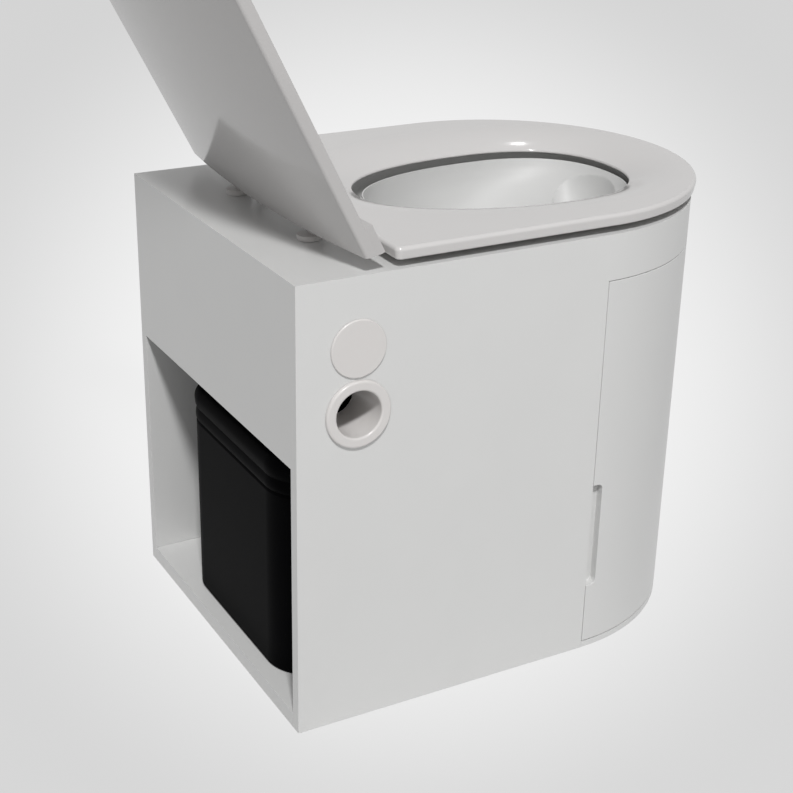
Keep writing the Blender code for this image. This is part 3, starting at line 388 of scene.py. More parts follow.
def natural_polyethylene(name):
    """Blow-moulded natural polyethylene: milky, a little see-through, with flow clouds in the wall."""
    material, tree, shader = start_material(name)
    cloud = noise(tree, 35, 4)
    tree.links.new(between(tree, cloud, "#dfe0d6", "#cfd1c6"), shader.inputs["Base Color"])
    tree.links.new(spread(tree, noise(tree, 3, 3), 0.34, 0.46), shader.inputs["Roughness"])
    tree.links.new(dents(tree, cloud, 0.15, 0.4), shader.inputs["Normal"])
    shader.inputs["Transmission Weight"].default_value = 0.25
    shader.inputs["IOR"].default_value = 1.51
    return material


# Satin cabinet plastic: broad soft lights, and a bright line only along a rounded edge.
SHELL = moulded_plastic("satin_moulded_polypropylene", "#d8d8d7", "#d5d5d4", 0.30, 1.4, 0.008)
# The door's plastic is a shade darker than the wall beside it, so the eye reads it apart.
DOOR = moulded_plastic("satin_moulded_polypropylene_door", "#d6d6d5", "#d4d4d3", 0.30, 1.4, 0.008)
# Seat resin: hard and glossy, a little warm, with small sharp lights where it bends.
SEAT = pressed_gloss("pressed_urea_resin", "#d1cfce", "#cecccb", 0.10)
# Lid resin: the same gloss, which mirrors the deck near its lower edge. Its colour is a darker copy of the
# seat's, painted shade for a face that turns down and away from the light.
LID_PAINTED_SHADE = pressed_gloss("pressed_urea_resin_lid_painted_shade", "#bdbbba", "#bab8b7", 0.10)
# Bowl: smooth but hazy, so the walls pass light to one another and show no sharp image.
BOWL = pressed_gloss("polished_polypropylene", "#cfcfce", "#cccccb", 0.50, 40, 1.49)
# Vent, disc and posts: a warmer white than the wall they stand on.
FITTING = moulded_plastic("polished_white_nylon", "#d8d5d3", "#d4d1cf", 0.30, 1.8, 0.006, 1.53)
# Bin: near black and almost without shine, so only its rolled rim and soft corners can be made out.
BIN = moulded_plastic("matt_black_polypropylene", "#040405", "#030304", 0.50, 1.2, 0.02, shine=0.02)
# Grey service parts under the deck: plain and matt, easy to tell from what is white.
GREY = moulded_plastic("moulded_grey_polypropylene", "#8d8f90", "#858788", 0.45, 1.5, 0.015)
# Buffers: soft, pale grey and without gloss.
RUBBER = moulded_plastic("soft_grey_elastomer", "#b5b4b1", "#aaa9a6", 0.62, 0.9, 0.02, 1.5)
# Pins, bolts and magnets: the only parts that mirror like metal.
STEEL = turned_steel("turned_stainless_steel")
# Canister: milky and slightly see-through, with clouds where the plastic flowed.
NATURAL = natural_polyethylene("blow_moulded_polyethylene")
print("finishes:", len(bpy.data.materials))

# %% [markdown]
# ## The cabinet
# One moulding makes the side walls, the deck, the header over the bin and the apron over the door. It was
# drawn with 12 mm walls, so it needs no frame inside. Its outside edges have a small mould radius, which
# the light picks out as a thin bright line. The door is the same half round, cut free by fine seams.

# %% Mould the cabinet shell
HALF_WIDTH = 0.190
REAR_Y = 0.25625
SEAM_Y = -0.06625
DECK = 0.445
WALL = 0.012
NICHE_TOP = 0.2716
DOOR_TOP = 0.399
SEAM = 0.0008
FIT = 0.0003
OVER = 0.004
FAR = 0.5
EDGE_ROUND, DOOR_ROUND, FLOOR_ROUND = 0.0019, 0.0007, 0.0006
DECK_HOLE_GROW = 0.0123
VENT_HOLE, BOLT_HOLE = 0.0249, 0.0033
PIVOT_HOLE, PIVOT_REACH = 0.0025, 0.0103
MAGNET_HOLE, MAGNET_REACH = 0.0038, 0.0043
HINGE_X, POST_Y = 0.080, 0.190
VENT_Y, VENT_Z = 0.1965, 0.318
PIVOT = (0.183874, -0.07305)
MAGNET_HEIGHTS = (0.045, 0.350)
SEAT_HOLE = np.array([0.099, 0.174, 0.119, -0.080])
GROW = np.array([1, 1, 1, 0])


def block(low, high):
    """A box from corner to corner, for cutting."""
    outline = [(low[0], low[1]), (high[0], low[1]), (high[0], high[1]), (low[0], high[1])]
    return prism("block", np.array(outline), low[2], high[2])


def magnet_pocket(z, low, high):
    """A round pocket along Y in the middle of the wall beside the free edge, for a magnet."""
    a = np.linspace(0, 2 * np.pi, SMALL_STEPS, endpoint=False)
    x = WALL / 2 - HALF_WIDTH + MAGNET_HOLE * np.cos(a)
    ring = np.stack([x, np.zeros(SMALL_STEPS), z + MAGNET_HOLE * np.sin(a)], -1)
    return loft("pocket", np.stack([ring + (0, low, 0), ring + (0, high, 0)]))


def pivot_bore(low, high):
    """The bore that a door pin turns in."""
    return rod(PIVOT_HOLE, low, high, (*PIVOT, 0), 2, SMALL_STEPS)


def cabinet_shell():
    """The outside D, less the room inside, the niche, the doorway and the hole for the bowl."""
    inner = HALF_WIDTH - WALL
    outside = prism("cabinet", d_outline(HALF_WIDTH, REAR_Y, SEAM_Y), 0, DECK)
    cavity = prism("cavity", d_outline(inner, REAR_Y - WALL, SEAM_Y), -OVER, DECK - WALL)
    niche = block((-inner, REAR_Y - WALL - OVER, -OVER), (inner, REAR_Y + OVER, NICHE_TOP))
    doorway = block((-FAR, -FAR, -OVER), (FAR, SEAM_Y, DOOR_TOP + SEAM))
    hole = prism("hole", oval(*SEAT_HOLE + DECK_HOLE_GROW * GROW), DECK - 2 * WALL, DECK + OVER)
    vent = rod(VENT_HOLE, -HALF_WIDTH - OVER, OVER - inner, (0, VENT_Y, VENT_Z), 0, 64)
    bolts = [(side * HINGE_X, POST_Y, 0) for side in (-1, 1)]
    small = [rod(BOLT_HOLE, DECK - 2 * WALL, DECK + OVER, bolt, 2, SMALL_STEPS) for bolt in bolts]
    small += [magnet_pocket(z, SEAM_Y - OVER, SEAM_Y + MAGNET_REACH) for z in MAGNET_HEIGHTS]
    small += [pivot_bore(DOOR_TOP, DOOR_TOP + SEAM + PIVOT_REACH)]
    return carve(outside, cuts=[cavity, niche, doorway, hole, vent], radius=EDGE_ROUND, after=small)


place_piece("cabinet_moulding", cabinet_shell(), "cabinet", SHELL, ["cabinet_shell"])

# %% [markdown]
# The door's outline is an arc outside, an arc inside and a half circle about the pivot, so that its rear
# edge turns in the seam without touching. A long pocket with round ends, milled in the free edge, gives
# the fingers a hold. The floor carries a thin rim under the door, which shows as a fine step at the foot.

# %% Cut the door and the floor
DOOR_WALL = 0.012
RIM_HEIGHT, RIM_STEP, FLOOR_THICK = 0.0066, 0.0135, 0.016
GROOVE_ENDS, GROOVE_WIDTH, GROOVE_DEEP, GROOVE_ROUND = (0.073, 0.186), 0.012, 0.009, 0.0058
FLOOR_PIN, FLOOR_PIN_TOP = 0.00525, 0.013


def door_outline():
    """The door from above: a half-round wall, flat at its free edge and rounded about its pivot."""
    inner = HALF_WIDTH - DOOR_WALL
    hinge = 360 - math.degrees(math.atan2(SEAM_Y - PIVOT[1], PIVOT[0]))
    outer_free = 180 + math.degrees(math.asin(SEAM / HALF_WIDTH))
    inner_free = 180 + math.degrees(math.asin(SEAM / inner))
    outside = arc((0, SEAM_Y), HALF_WIDTH, outer_free, hinge, STEPS)
    end = arc(PIVOT, DOOR_WALL / 2, hinge - 360, hinge - 180, 16)[1:-1]
    inside = arc((0, SEAM_Y), inner, hinge, inner_free, STEPS)
    return np.concatenate([outside, end, inside])


def door():
    """The half-round door, with the finger groove in its free edge and the small bores."""
    low = RIM_HEIGHT + SEAM
    shape = prism("door", door_outline(), low, DOOR_TOP)
    start, end = GROOVE_ENDS
    groove = rounded_box((SEAM_Y - GROOVE_WIDTH, start), (SEAM_Y + GROOVE_WIDTH, end), GROOVE_ROUND)
    cuts = [prism("groove", groove, -HALF_WIDTH - OVER, GROOVE_DEEP - HALF_WIDTH, 0)]
    small = [magnet_pocket(z, SEAM_Y - SEAM - MAGNET_REACH, SEAM_Y) for z in MAGNET_HEIGHTS]
    small += [pivot_bore(DOOR_TOP - PIVOT_REACH, DOOR_TOP + OVER)]
    small += [pivot_bore(low - OVER, low + PIVOT_REACH)]
    return carve(shape, cuts=cuts, radius=DOOR_ROUND, after=small)


def floor_plate():
    """The floor between the walls, with a thin rim that the door stands on."""
    inner = HALF_WIDTH - WALL - FIT
    front = SEAM_Y - FIT
    rear = np.array([(inner, REAR_Y), (-inner, REAR_Y), (-inner, front)])
    ends = np.array([(inner, front)])
    top = np.concatenate([rear, arc((0, front), HALF_WIDTH - RIM_STEP, 180, 360, STEPS), ends])
    rim = np.concatenate([rear, arc((0, front), HALF_WIDTH - FIT, 180, 360, STEPS), ends])
    plate = prism("plate", top, 0, FLOOR_THICK)
    bore = pivot_bore(RIM_HEIGHT - FLOOR_PIN, FLOOR_PIN_TOP)
    return carve(plate, joins=[prism("rim", rim, 0, RIM_HEIGHT)], radius=FLOOR_ROUND, after=[bore])


place_piece("door_moulding", door(), "door", DOOR, ["front_door"])
place_piece("floor_moulding", floor_plate(), "cabinet", SHELL, ["floor_plate"])

# %% [markdown]
# ## The seat and the lid
# Both are pressed in urea resin, which gives the heavy gloss of a good lavatory seat. The seat is a ring
# of loops that run from the oval hole out to the D-shaped edge. Its dish falls slowly from the flat and
# ends in a round lip. The lid is a flat D with a bar along its hinge edge, notched so that it clears the
# posts when it swings up.

# %% Press the seat
HINGE_Y, HINGE_Z = 0.18345, 0.468
SEAT_HALF, SEAT_REAR, ROUND_Y = 0.1896, 0.15985, -0.07125
SEAT_TOP, SEAT_UNDER, SEAT_LIP = 0.4642, 0.4523, 0.4470
SEAT_CREST, SEAT_FOOT, SEAT_LEAN = 0.0034, 0.0022, 9
SEAT_CORNER, HOLE_ROUND = 0.006, 0.0022
DISH_WIDTH, DISH_DROP = 0.058, 0.0147
STEP_FAR, STEP_NEAR, STEP_WIDTH, LIP_ROUND = 0.020, 0.005, 0.012, 0.001
LUG_GAP, LUG_WIDTH, LUG_FRONT, LUG_TOP, LUG_BOTTOM = 0.0007, 0.0115, 0.012, 0.0011, 0.0015
BORE_REACH = 0.09
KNUCKLE, PIN = 0.0075, 0.003
POST_WIDTH, POST_DEPTH = 0.014, 0.010


def d_inset(half, rear, round_y, corner, inset):
    """The D drawn in by an inset, with as many points as before."""
    return d_outline(half - inset, rear - inset, round_y, corner * corner / (corner + inset))


def hole_ring(outline, grow):
    """Where the line from the hole's widest place to each outline point meets the hole, then moved out."""
    half, rear, front, wide_y = SEAT_HOLE
    away = outline - (0, wide_y)
    size = np.stack([np.full(len(away), half), np.where(away[:, 1] > 0, rear, front)], -1)
    reach = (np.abs(away / size) ** OVAL_POWER).sum(-1, keepdims=True)
    scale = reach ** (-1 / OVAL_POWER) + grow / np.linalg.norm(away, axis=-1, keepdims=True)
    return (0, wide_y) + away * scale


def dish_profile():
    """(distance from the hole, height): a round lip, then top - drop * (1 - g / width)^2 out to the flat."""
    lip = HOLE_ROUND
    slope = math.degrees(math.atan(2 * DISH_DROP / DISH_WIDTH))
    start = lip * (1 - math.sin(math.radians(slope)))
    g = np.linspace(start, DISH_WIDTH, 22)
    dish = np.stack([g, SEAT_TOP - DISH_DROP * (1 - g / DISH_WIDTH) ** 2], -1)
    middle = dish[0, 1] - lip * math.cos(math.radians(slope))
    return np.concatenate([arc((lip, middle), lip, 180, 90 + slope, 8)[:-1], dish])


def seat_edges():
    """(inset, height) round the outer edge: a soft crest, a side that leans in, and a round foot."""
    crest = arc((SEAT_CREST, SEAT_TOP - SEAT_CREST), SEAT_CREST, 90, 180 + SEAT_LEAN, 10)
    s, c = math.sin(math.radians(SEAT_LEAN)), math.cos(math.radians(SEAT_LEAN))
    down = (crest[-1, 1] - SEAT_UNDER - SEAT_FOOT * (1 - s)) / c
    middle = (crest[-1, 0] + down * s + SEAT_FOOT * c, SEAT_UNDER + SEAT_FOOT)
    return np.concatenate([crest, arc(middle, SEAT_FOOT, 180 + SEAT_LEAN, 270, 6)])


def lip_profile():
    """(distance from the hole, height) back under the seat: a smooth step down to the lip."""
    g = np.linspace(STEP_FAR, 2 * LIP_ROUND, 16)
    rise = np.clip((g - STEP_NEAR) / STEP_WIDTH, 0, 1)
    step = SEAT_LIP + (SEAT_UNDER - SEAT_LIP) * rise * rise * (3 - 2 * rise)
    lip = arc((LIP_ROUND, SEAT_LIP + LIP_ROUND), LIP_ROUND, 270, 180, 4)
    return np.concatenate([np.stack([g, step], -1), lip])


def lug_edges(side):
    """The two faces of the seat's hinge lug, inboard of the post."""
    outer = HINGE_X - POST_WIDTH / 2 - LUG_GAP
    return sorted((side * outer, side * (outer - LUG_WIDTH)))


def lug(side):
    """An arm from under the seat's rear edge to the pin, round at its end."""
    low, high = lug_edges(side)
    top, bottom = SEAT_TOP - LUG_TOP, SEAT_UNDER + LUG_BOTTOM
    front = SEAT_REAR - LUG_FRONT
    view = [(front, top), (front, bottom), (HINGE_Y, HINGE_Z - KNUCKLE)]
    view += arc((HINGE_Y, HINGE_Z), KNUCKLE, -90, 180, 30)[1:].tolist() + [(HINGE_Y - 2 * KNUCKLE, top)]
    return prism("lug", np.array(view), low, high, 0)


def seat():
    """Loops from the lip over the dish, across the flat, round the outer edge and back underneath."""
    outline = d_outline(SEAT_HALF, SEAT_REAR, ROUND_Y, SEAT_CORNER)
    levels = [lift(hole_ring(outline, g), z) for g, z in dish_profile()]
    for inset, z in seat_edges():
        levels.append(lift(d_inset(SEAT_HALF, SEAT_REAR, ROUND_Y, SEAT_CORNER, inset), z))
    levels += [lift(hole_ring(outline, g), z) for g, z in lip_profile()]
    bores = [rod(PIN + FIT, -BORE_REACH, BORE_REACH, (0, HINGE_Y, HINGE_Z), 0, 40)]
    return carve(loft("seat", levels, wrap=True), joins=[lug(-1), lug(1)], cuts=bores)


place_piece("seat_ring", seat(), "seat", SEAT, ["seat"], sharp=60)

# %% [markdown]
# The lid is drawn shut, with its pin at the origin, and is swung open at the end. Its upper face is
# slightly crowned, as a press tool gives it, and its rear edge leans forward. Each notch is the space
# that a post takes up while the lid swings past it.

# %% Press the lid
LID_OPEN = math.radians(117.2)
LID_HALF, LID_UNDER, LID_EDGE, LID_CROWN, LID_REAR = 0.1908, -0.001, 0.010, 0.0103, 0.0095
BAR_FRONT, BAR_BOTTOM, BAR_LAP, BAR_INSET = -0.0190, -0.0080, 0.0026, 0.0002
LID_CRISP, LID_SOFT, LID_ROUND = 0.0007, 0.0026, 0.0009
HEEL, HEEL_TOP = (0.0096, -0.0052), (0.0036, 0.0140)
NOTCH_GAP = 0.001
LID_PIN_ENDS = (0.0457, 0.1023)


def lid_top(outline, drop=0.0):
    """The crowned top: edge + crown * (1 - (x^2 + min(0, y - front centre)^2) / half^2), less a drop."""
    x, y = outline.T
    share = (x**2 + np.minimum(0, y - ROUND_Y + HINGE_Y) ** 2) / LID_HALF**2
    return np.column_stack([outline, LID_EDGE - drop + LID_CROWN * np.clip(1 - share, 0, 1)])


def lid_plate():
    """The crowned D, crisp below and softer above, drawn shut with the hinge pin at the origin."""
    round_y = ROUND_Y - HINGE_Y
    under = arc((LID_CRISP, LID_UNDER + LID_CRISP), LID_CRISP, 270, 180, 4)
    edge = arc((LID_SOFT, LID_SOFT), LID_SOFT, 180, 270, 6)
    levels = [lift(d_outline(LID_HALF - i, LID_REAR - i, round_y), z) for i, z in under]
    levels += [lid_top(d_outline(LID_HALF - i, LID_REAR - i, round_y), drop) for i, drop in edge]
    inner = levels[-1][:, :2]
    middle = np.array([0, (LID_REAR + round_y) / 2])
    levels += [lid_top(middle + (inner - middle) * share) for share in np.linspace(0.97, 0.03, 16)]
    return loft("plate", levels)


def notch(side):
    """Room for one post and one lug from shut to open: a round, a swept wedge and the bar's front."""
    inner = lug_edges(side)[0 if side > 0 else 1] - side * NOTCH_GAP
    ends = sorted((inner, side * (HINGE_X + POST_WIDTH / 2 + NOTCH_GAP)))
    room, stem, lean = KNUCKLE + NOTCH_GAP, POST_DEPTH / 2 + NOTCH_GAP, LID_OPEN - math.pi / 2
    far, c, s = 3 * room, math.cos(lean), math.sin(lean)
    wedge = [(-stem, -far), (far, -far), (far * c - stem * s, far * s + stem * c)]
    wedge += [(-stem * s, stem * c), (-stem, 0)]
    before, below = BAR_FRONT - OVER, BAR_BOTTOM - OVER
    front = [(before, below), (0, below), (0, 0), (before, 0)]
    return [
        rod(room, *ends, axis=0, steps=48),
        prism("wedge", np.array(wedge), *ends, 0),
        prism("front", np.array(front), *ends, 0),
    ]


def heel():
    """What the slope of the rear edge takes off: it leans forward from the bar up to the crowned face."""
    (y0, z0), (y1, z1) = HEEL, HEEL_TOP
    y2, z2 = 2 * y1 - y0, 2 * z1 - z0
    view = [(y0, z0), (y0 + z2, z0), (y0 + z2, z2), (y2, z2)]
    return prism("heel", np.array(view), -2 * LID_HALF, 2 * LID_HALF, 0)


def lid():
    """The plate and its bar, less the notches, then swung up about the pin to where the lid rests."""
    in_plate = LID_UNDER + BAR_LAP
    bar = [(BAR_FRONT, in_plate), (BAR_FRONT, BAR_BOTTOM), (LID_REAR, BAR_BOTTOM), (LID_REAR, in_plate)]
    joins = [prism("bar", np.array(bar), BAR_INSET - LID_HALF, LID_HALF - BAR_INSET, 0)]
    cuts = notch(-1) + notch(1) + [heel()]
    near, far = LID_PIN_ENDS
    pins = [rod(PIN + FIT, *ends, axis=0, steps=32) for ends in ((-far, -near), (near, far))]
    mesh = carve(lid_plate(), joins=joins, cuts=cuts, radius=LID_ROUND, after=pins)
    mesh.transform(Matrix.Translation((0, HINGE_Y, HINGE_Z)) @ Matrix.Rotation(-LID_OPEN, 4, "X"))
    return mesh


place_piece("lid_pressing", lid(), "lid", LID_PAINTED_SHADE, ["lid"], sharp=50)

# %% [markdown]
# ## The bowl
# A thin polished liner hangs in the deck by its flange. Inside the flange a shallow gutter runs round the
# bowl's own rim. Liquids run into the small basin at the front and down its drain, and solids fall
# through the funnel behind it.

# %% Form the bowl liner
RIM = np.array([0.0935, 0.170, 0.110, -0.088])
OUTLET = np.array([0.0617, 0.055, 0.055, 0.006])
BASIN = np.array([0.0496, 0.0288, 0.0288, -0.1662])
DRAIN = np.array([0.011, 0.011, 0.011, -0.1582])
RIM_Z, GUTTER_Z, GUTTER_LOW, OUTLET_Z, BASIN_Z = 0.441, 0.4345, 0.418, 0.345, 0.390
LINER = 0.0025
WALL_GROW, FLANGE_GROW, GUTTER_GROW, RIM_GROW = 0.012, 0.023, 0.0095, 0.0013
OUTLET_SKIRT, DRAIN_RADIUS, DRAIN_LOW = 0.012, 0.0088, 0.34
BOWL_ROUND, HEADROOM, SKIN_GAP = 0.0008, 0.02, 0.001
FUNNEL_SHARES = [(0, 0), (0.04, 0.10), (0.14, 0.24), (0.42, 0.46), (0.80, 0.74), (1, 1)]
BASIN_SHARES = [(1, 0), (0.88, 0.30), (0.66, 0.62), (0.36, 0.88), (0, 1)]


def along(shares, count):
    """A table of (run, drop) shares, read at evenly spaced places and softened over its corners."""
    run, drop = np.array(shares).T
    t, given = np.linspace(0, 1, count), np.linspace(0, 1, len(run))
    fine = np.stack([np.interp(t, given, run), np.interp(t, given, drop)], -1)
    for _ in range(3):
        fine[1:-1] = (fine[:-2] + 2 * fine[1:-1] + fine[2:]) / 4
    return fine


def funnel(offset):
    """Ovals from the rim to the outlet: lengths, middle and height all run by shares."""
    table = along(FUNNEL_SHARES, 26)
    sizes = [RIM + (OUTLET - RIM) * run + offset * GROW for run, _ in table]
    heights = RIM_Z - offset - (RIM_Z - OUTLET_Z) * table[:, 1]
    return [lift(oval(*size), z) for size, z in zip(sizes, heights)]


def basin(offset, top):
    """Ovals from the basin's mouth down to its drain."""
    table = along(BASIN_SHARES, 16)
    sizes = [DRAIN + (BASIN - DRAIN) * run + offset * GROW for run, _ in table]
    heights = top - (top - BASIN_Z) * table[:, 1] - offset
    return [lift(oval(*size, power=2), z) for size, z in zip(sizes, heights)]


def bowl():
    """Flange, gutter wall and funnel as one solid, then the well, the hollow and the basin cut from it."""
    rest, high, under = DECK + FIT, DECK + FIT + LINER, GUTTER_LOW - LINER
    outside, inside = funnel(LINER), funnel(0)
    wall, flange = (oval(*SEAT_HOLE + grow * GROW) for grow in (WALL_GROW, FLANGE_GROW))
    skin = [outside[-1] - (0, 0, OUTLET_SKIRT)]
    skin += [level for level in outside[::-1] if level[0, 2] < under - SKIN_GAP]
    skin += [lift(oval(*RIM + LINER * GROW), under), lift(wall, under), lift(wall, rest)]
    skin += [lift(flange, rest), lift(flange, high)]
    well = [lift(oval(*SEAT_HOLE + GUTTER_GROW * GROW), z) for z in (high + OVER, GUTTER_LOW)]
    well += [lift(oval(*RIM + RIM_GROW * GROW), z) for z in (GUTTER_LOW, RIM_Z)]
    hollow = [inside[0] + (0, 0, HEADROOM)] + inside + [inside[-1] - (0, 0, 2 * OUTLET_SKIRT)]
    drain = rod(DRAIN_RADIUS, DRAIN_LOW, GUTTER_Z, (0, DRAIN[3], 0))
    body = carve(loft("skin", skin), joins=[loft("basin", basin(LINER, GUTTER_Z + LINER / 2))])
    cuts = [loft("well", well), loft("hollow", hollow), loft("bay", basin(0, GUTTER_Z + LINER)), drain]
    return carve(body, cuts=cuts, radius=BOWL_ROUND, angle=50)


place_piece("bowl_liner", bowl(), "cabinet", BOWL, ["bowl_insert"], sharp=50)

# %% [markdown]
# ## The bin, the vent and the hinges
# The bin is a plain black box with soft corners and a rolled rim to lift it by. The vent is a turned
# spigot clamped through the side wall, with a bare disc above it. Two nylon posts carry the pin that the
# seat and lid swing on.

# %% Mould the bin
BIN_HALF = np.array([0.124, 0.140])
BIN_CENTRE = np.array([-0.010, 0.1017])
BIN_CORNER = 0.044
GROOVE, ROLL_Z, ROLL, ROLL_OUT, ROLL_UNDER = 0.2108, 0.235, 0.011, 0.0014, 0.0040
ROLL_LIP, ROLL_TUCK, BIN_THICK = 0.001, 0.004, 0.005
BIN_FLOOR = 0.0163
BIN_FOOT = [(-0.0030, 0), (-0.0009, 0.0009), (0, 0.0030)]
BIN_BAND = [(0, -0.0020), (-0.0014, -0.0010), (-0.0018, 0), (-0.0006, 0.0012)]
BIN_BAND += [(0.0004, 0.0030), (0.0006, 0.0060), (0.0003, 0.0100)]
BIN_INSIDE = [(-0.0050, 0.0060), (-0.0058, 0.0040), (-0.0080, 0.0030)]


def bin_ring(grow, z):
    """The bin's plan grown by a distance, at a height."""
    half = BIN_HALF + grow
    return lift(rounded_box(BIN_CENTRE - half, BIN_CENTRE + half, BIN_CORNER + grow, 24), z)


def bin_profile():
    """(grow, height) up the outside, over a groove, a low band and the rolled rim, and down the inside."""
    outside = [(grow, BIN_FLOOR + z) for grow, z in BIN_FOOT] + [(grow, GROOVE + z) for grow, z in BIN_BAND]
    under = arc((0, 0), 1, -72, 0, 8)[:-1] * (ROLL_UNDER, ROLL) + (ROLL_OUT - ROLL_UNDER, ROLL_Z)
    over = arc((ROLL_OUT - ROLL, ROLL_Z), ROLL, 0, 86, 14)
    inner = ROLL_OUT - ROLL - ROLL_LIP
    inside = [(inner, ROLL_Z + ROLL - ROLL_LIP), (inner, ROLL_Z - ROLL_TUCK)]
    inside += [(-BIN_THICK, GROOVE + ROLL_TUCK)]
    inside += [(grow, BIN_FLOOR + z) for grow, z in BIN_INSIDE]
    return outside + under.tolist() + over.tolist() + inside


bin_mesh = loft("bin", [bin_ring(grow, z) for grow, z in bin_profile()])
place_piece("solids_bin_moulding", bin_mesh, "bin", BIN, ["solids_bin"], sharp=50)

# %% [markdown]
# Both of these are turned shapes: one profile of radius and depth, spun round an axis that points out of
# the wall. The ring's mouth is rounded, so the air flows in smoothly and no edge looks sharp. The disc is
# left bare.

# %% Turn the vent and the disc
VENT_FACE, VENT_BORE, VENT_TUBE = 0.032, 0.0222, 0.0246
VENT_THICK, VENT_LONG, VENT_ROUND = 0.0035, 0.055, 0.0022
DISC_Z, DISC_FACE, DISC_THICK, DISC_ROUND, DISC_CORE = 0.3793, 0.027, 0.0018, 0.0012, 0.002


def vent_profile():
    """(radius, x) of the flanged spigot: a rounded face, a funnelled bore and a long tube."""
    out, r = -HALF_WIDTH - FIT, VENT_ROUND
    face = out - VENT_THICK
    end = face + VENT_LONG
    rim = arc((VENT_FACE - r, face + r), r, 0, -90, 8).tolist()
    mouth = arc((VENT_BORE + r, face + r), r, -90, -180, 8).tolist()
    return [(VENT_TUBE, end), (VENT_TUBE, out), (VENT_FACE, out)] + rim + mouth + [(VENT_BORE, end)]


def disc_profile():
    """(radius, x) of the bare disc: a flat face with a softly rounded rim."""
    back, r = -HALF_WIDTH - FIT, DISC_ROUND
    front = back - DISC_THICK
    rim = arc((DISC_FACE - r, front + r), r, 0, -90, 6).tolist()
    return [(DISC_CORE, back), (DISC_FACE, back)] + rim + [(DISC_CORE, front)]


vent = turned("vent", vent_profile(), (0, VENT_Y, VENT_Z), 0, 128, wrap=True)
place_piece("vent_spigot", vent, "cabinet", FITTING, ["vent_flange"], sharp=50)
disc = turned("disc", disc_profile(), (0, VENT_Y, DISC_Z), 0, 128)
place_piece("bare_disc", disc, "cabinet", FITTING, ["badge_disc"], sharp=50)

# %% [markdown]
# Each post is one nylon moulding: a round foot that spreads the load on the deck, a short stem, and a
# knuckle bored for the pin. A bolt comes up into the foot from below.

# %% Mould the hinge posts
FOOT_RADIUS, FOOT_HEIGHT, STEM_LOW, BOLT_DEEP, POST_ROUND = 0.011, 0.0045, 0.002, 0.003375, 0.0006


def hinge_post(side):
    """A round foot on the deck, a flat stem and a knuckle that the pin goes through."""
    x, base = side * HINGE_X, DECK + FIT
    foot = rod(FOOT_RADIUS, base, base + FOOT_HEIGHT, (x, POST_Y, 0), 2, 64)
    turn = math.degrees(math.acos(POST_DEPTH / 2 / KNUCKLE))
    low = base + STEM_LOW
    view = [(HINGE_Y - POST_DEPTH / 2, low), (HINGE_Y + POST_DEPTH / 2, low)]
    view += arc((HINGE_Y, HINGE_Z), KNUCKLE, -turn, 180 + turn, 40).tolist()
    stem = prism("stem", np.array(view), x - POST_WIDTH / 2, x + POST_WIDTH / 2, 0)
    bores = [rod(PIN + FIT, x - POST_WIDTH, x + POST_WIDTH, (0, HINGE_Y, HINGE_Z), 0, 40)]
    bores += [rod(BOLT_HOLE, base - OVER, base + BOLT_DEEP, (x, POST_Y, 0), 2, SMALL_STEPS)]
    return carve(foot, joins=[stem], radius=POST_ROUND, after=bores)


for side, name in ((-1, "left"), (1, "right")):
    place_piece(f"post_{name}", hinge_post(side), "cabinet", FITTING, [f"hinge_post_{name}"])

# %% [markdown]
# ## The carried pieces
# The rest of the construction shows as it is, and each solid gets the finish of what it is made of. These
# pieces sit inside the cabinet or under the seat, and come into view when the door, the seat or the bin
# is moved.

# %% Dress the carried pieces
def dress(prefix, material, round_mm=0.0):
    """Every shown solid whose name starts so takes a finish, and small rounded edges where asked."""
    for name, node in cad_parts.items():
        if not name.startswith(prefix) or node.hide_render:
            continue
        node.data.materials.clear()
        node.data.materials.append(material)
        if round_mm:
            edge = node.modifiers.new("moulded edges", "BEVEL")
            edge.width, edge.segments = round_mm / 1000, 2
            edge.limit_method, edge.angle_limit = "ANGLE", math.radians(50)
            weigh = node.modifiers.new("flats stay flat", "WEIGHTED_NORMAL")
            weigh.keep_sharp = True


dress("partition", SHELL, 0.8)
dress("vent_lock_nut", FITTING, 0.4)
dress("wing_nut", FITTING, 0.4)
dress("drop_skirt", GREY)
dress("drain_spout", GREY)
dress("canister_cap", GREY)
dress("liquids_canister", NATURAL)
dress("seat_buffer", RUBBER)
dress("lid_buffer", RUBBER)
dress("hinge_", STEEL)
dress("door_", STEEL)
dress("frame_magnet", STEEL)
shown = sorted(name for name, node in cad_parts.items() if not node.hide_render)
print("carried:", len(shown), "of", len(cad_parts))

# %% [markdown]
# ## The floor and the light
# The picture was taken on a pale seamless sweep, in a room that is lit all round. The paper shows the
# camera, and whatever mirrors it, a painted pool of light: a glow painted on the paper, brightest at its
# middle and fading outwards, shaped by the cone that a spot lamp behind the camera would throw. No such
# lamp is in the scene. The pool is painted on the floor itself, so that it stays where it is when the
# view moves. To every other ray the paper is plain matt paper, so it gives the object no more light than
# paper would.

# %% Lay the seamless floor
# The pool of light on the floor is painted: an emission glow that fades out from a cone's axis; no lamp
# stands at its apex.
PAINTED_POOL_APEX = Vector((-1.4, 0.84, 1.0))
PAINTED_POOL_AIM = Vector((0.539, -0.259, 0.0))
PAINTED_POOL_RANGE = (0.113, 0.310)
NEAREST = 0.05
PAINTED_POOL_CODES = ("#f8f8f8", "#d8d8d8")
PAINTED_POOL_SHARE = 0.92
FLOOR_HALF = 8.0
FLOOR_DROP = 0.0005


def seen_or_mirrored(tree):
    """1 for a ray from the camera, off a gloss or through glass, and 0 for any other."""
    path = add(tree, "ShaderNodeLightPath").outputs
    pair = {0: path["Is Camera Ray"], 1: path["Is Glossy Ray"]}
    both = add(tree, "ShaderNodeMath", pair, operation="MAXIMUM")
    every = {0: both.outputs["Value"], 1: path["Is Transmission Ray"]}
    return add(tree, "ShaderNodeMath", every, operation="MAXIMUM").outputs["Value"]


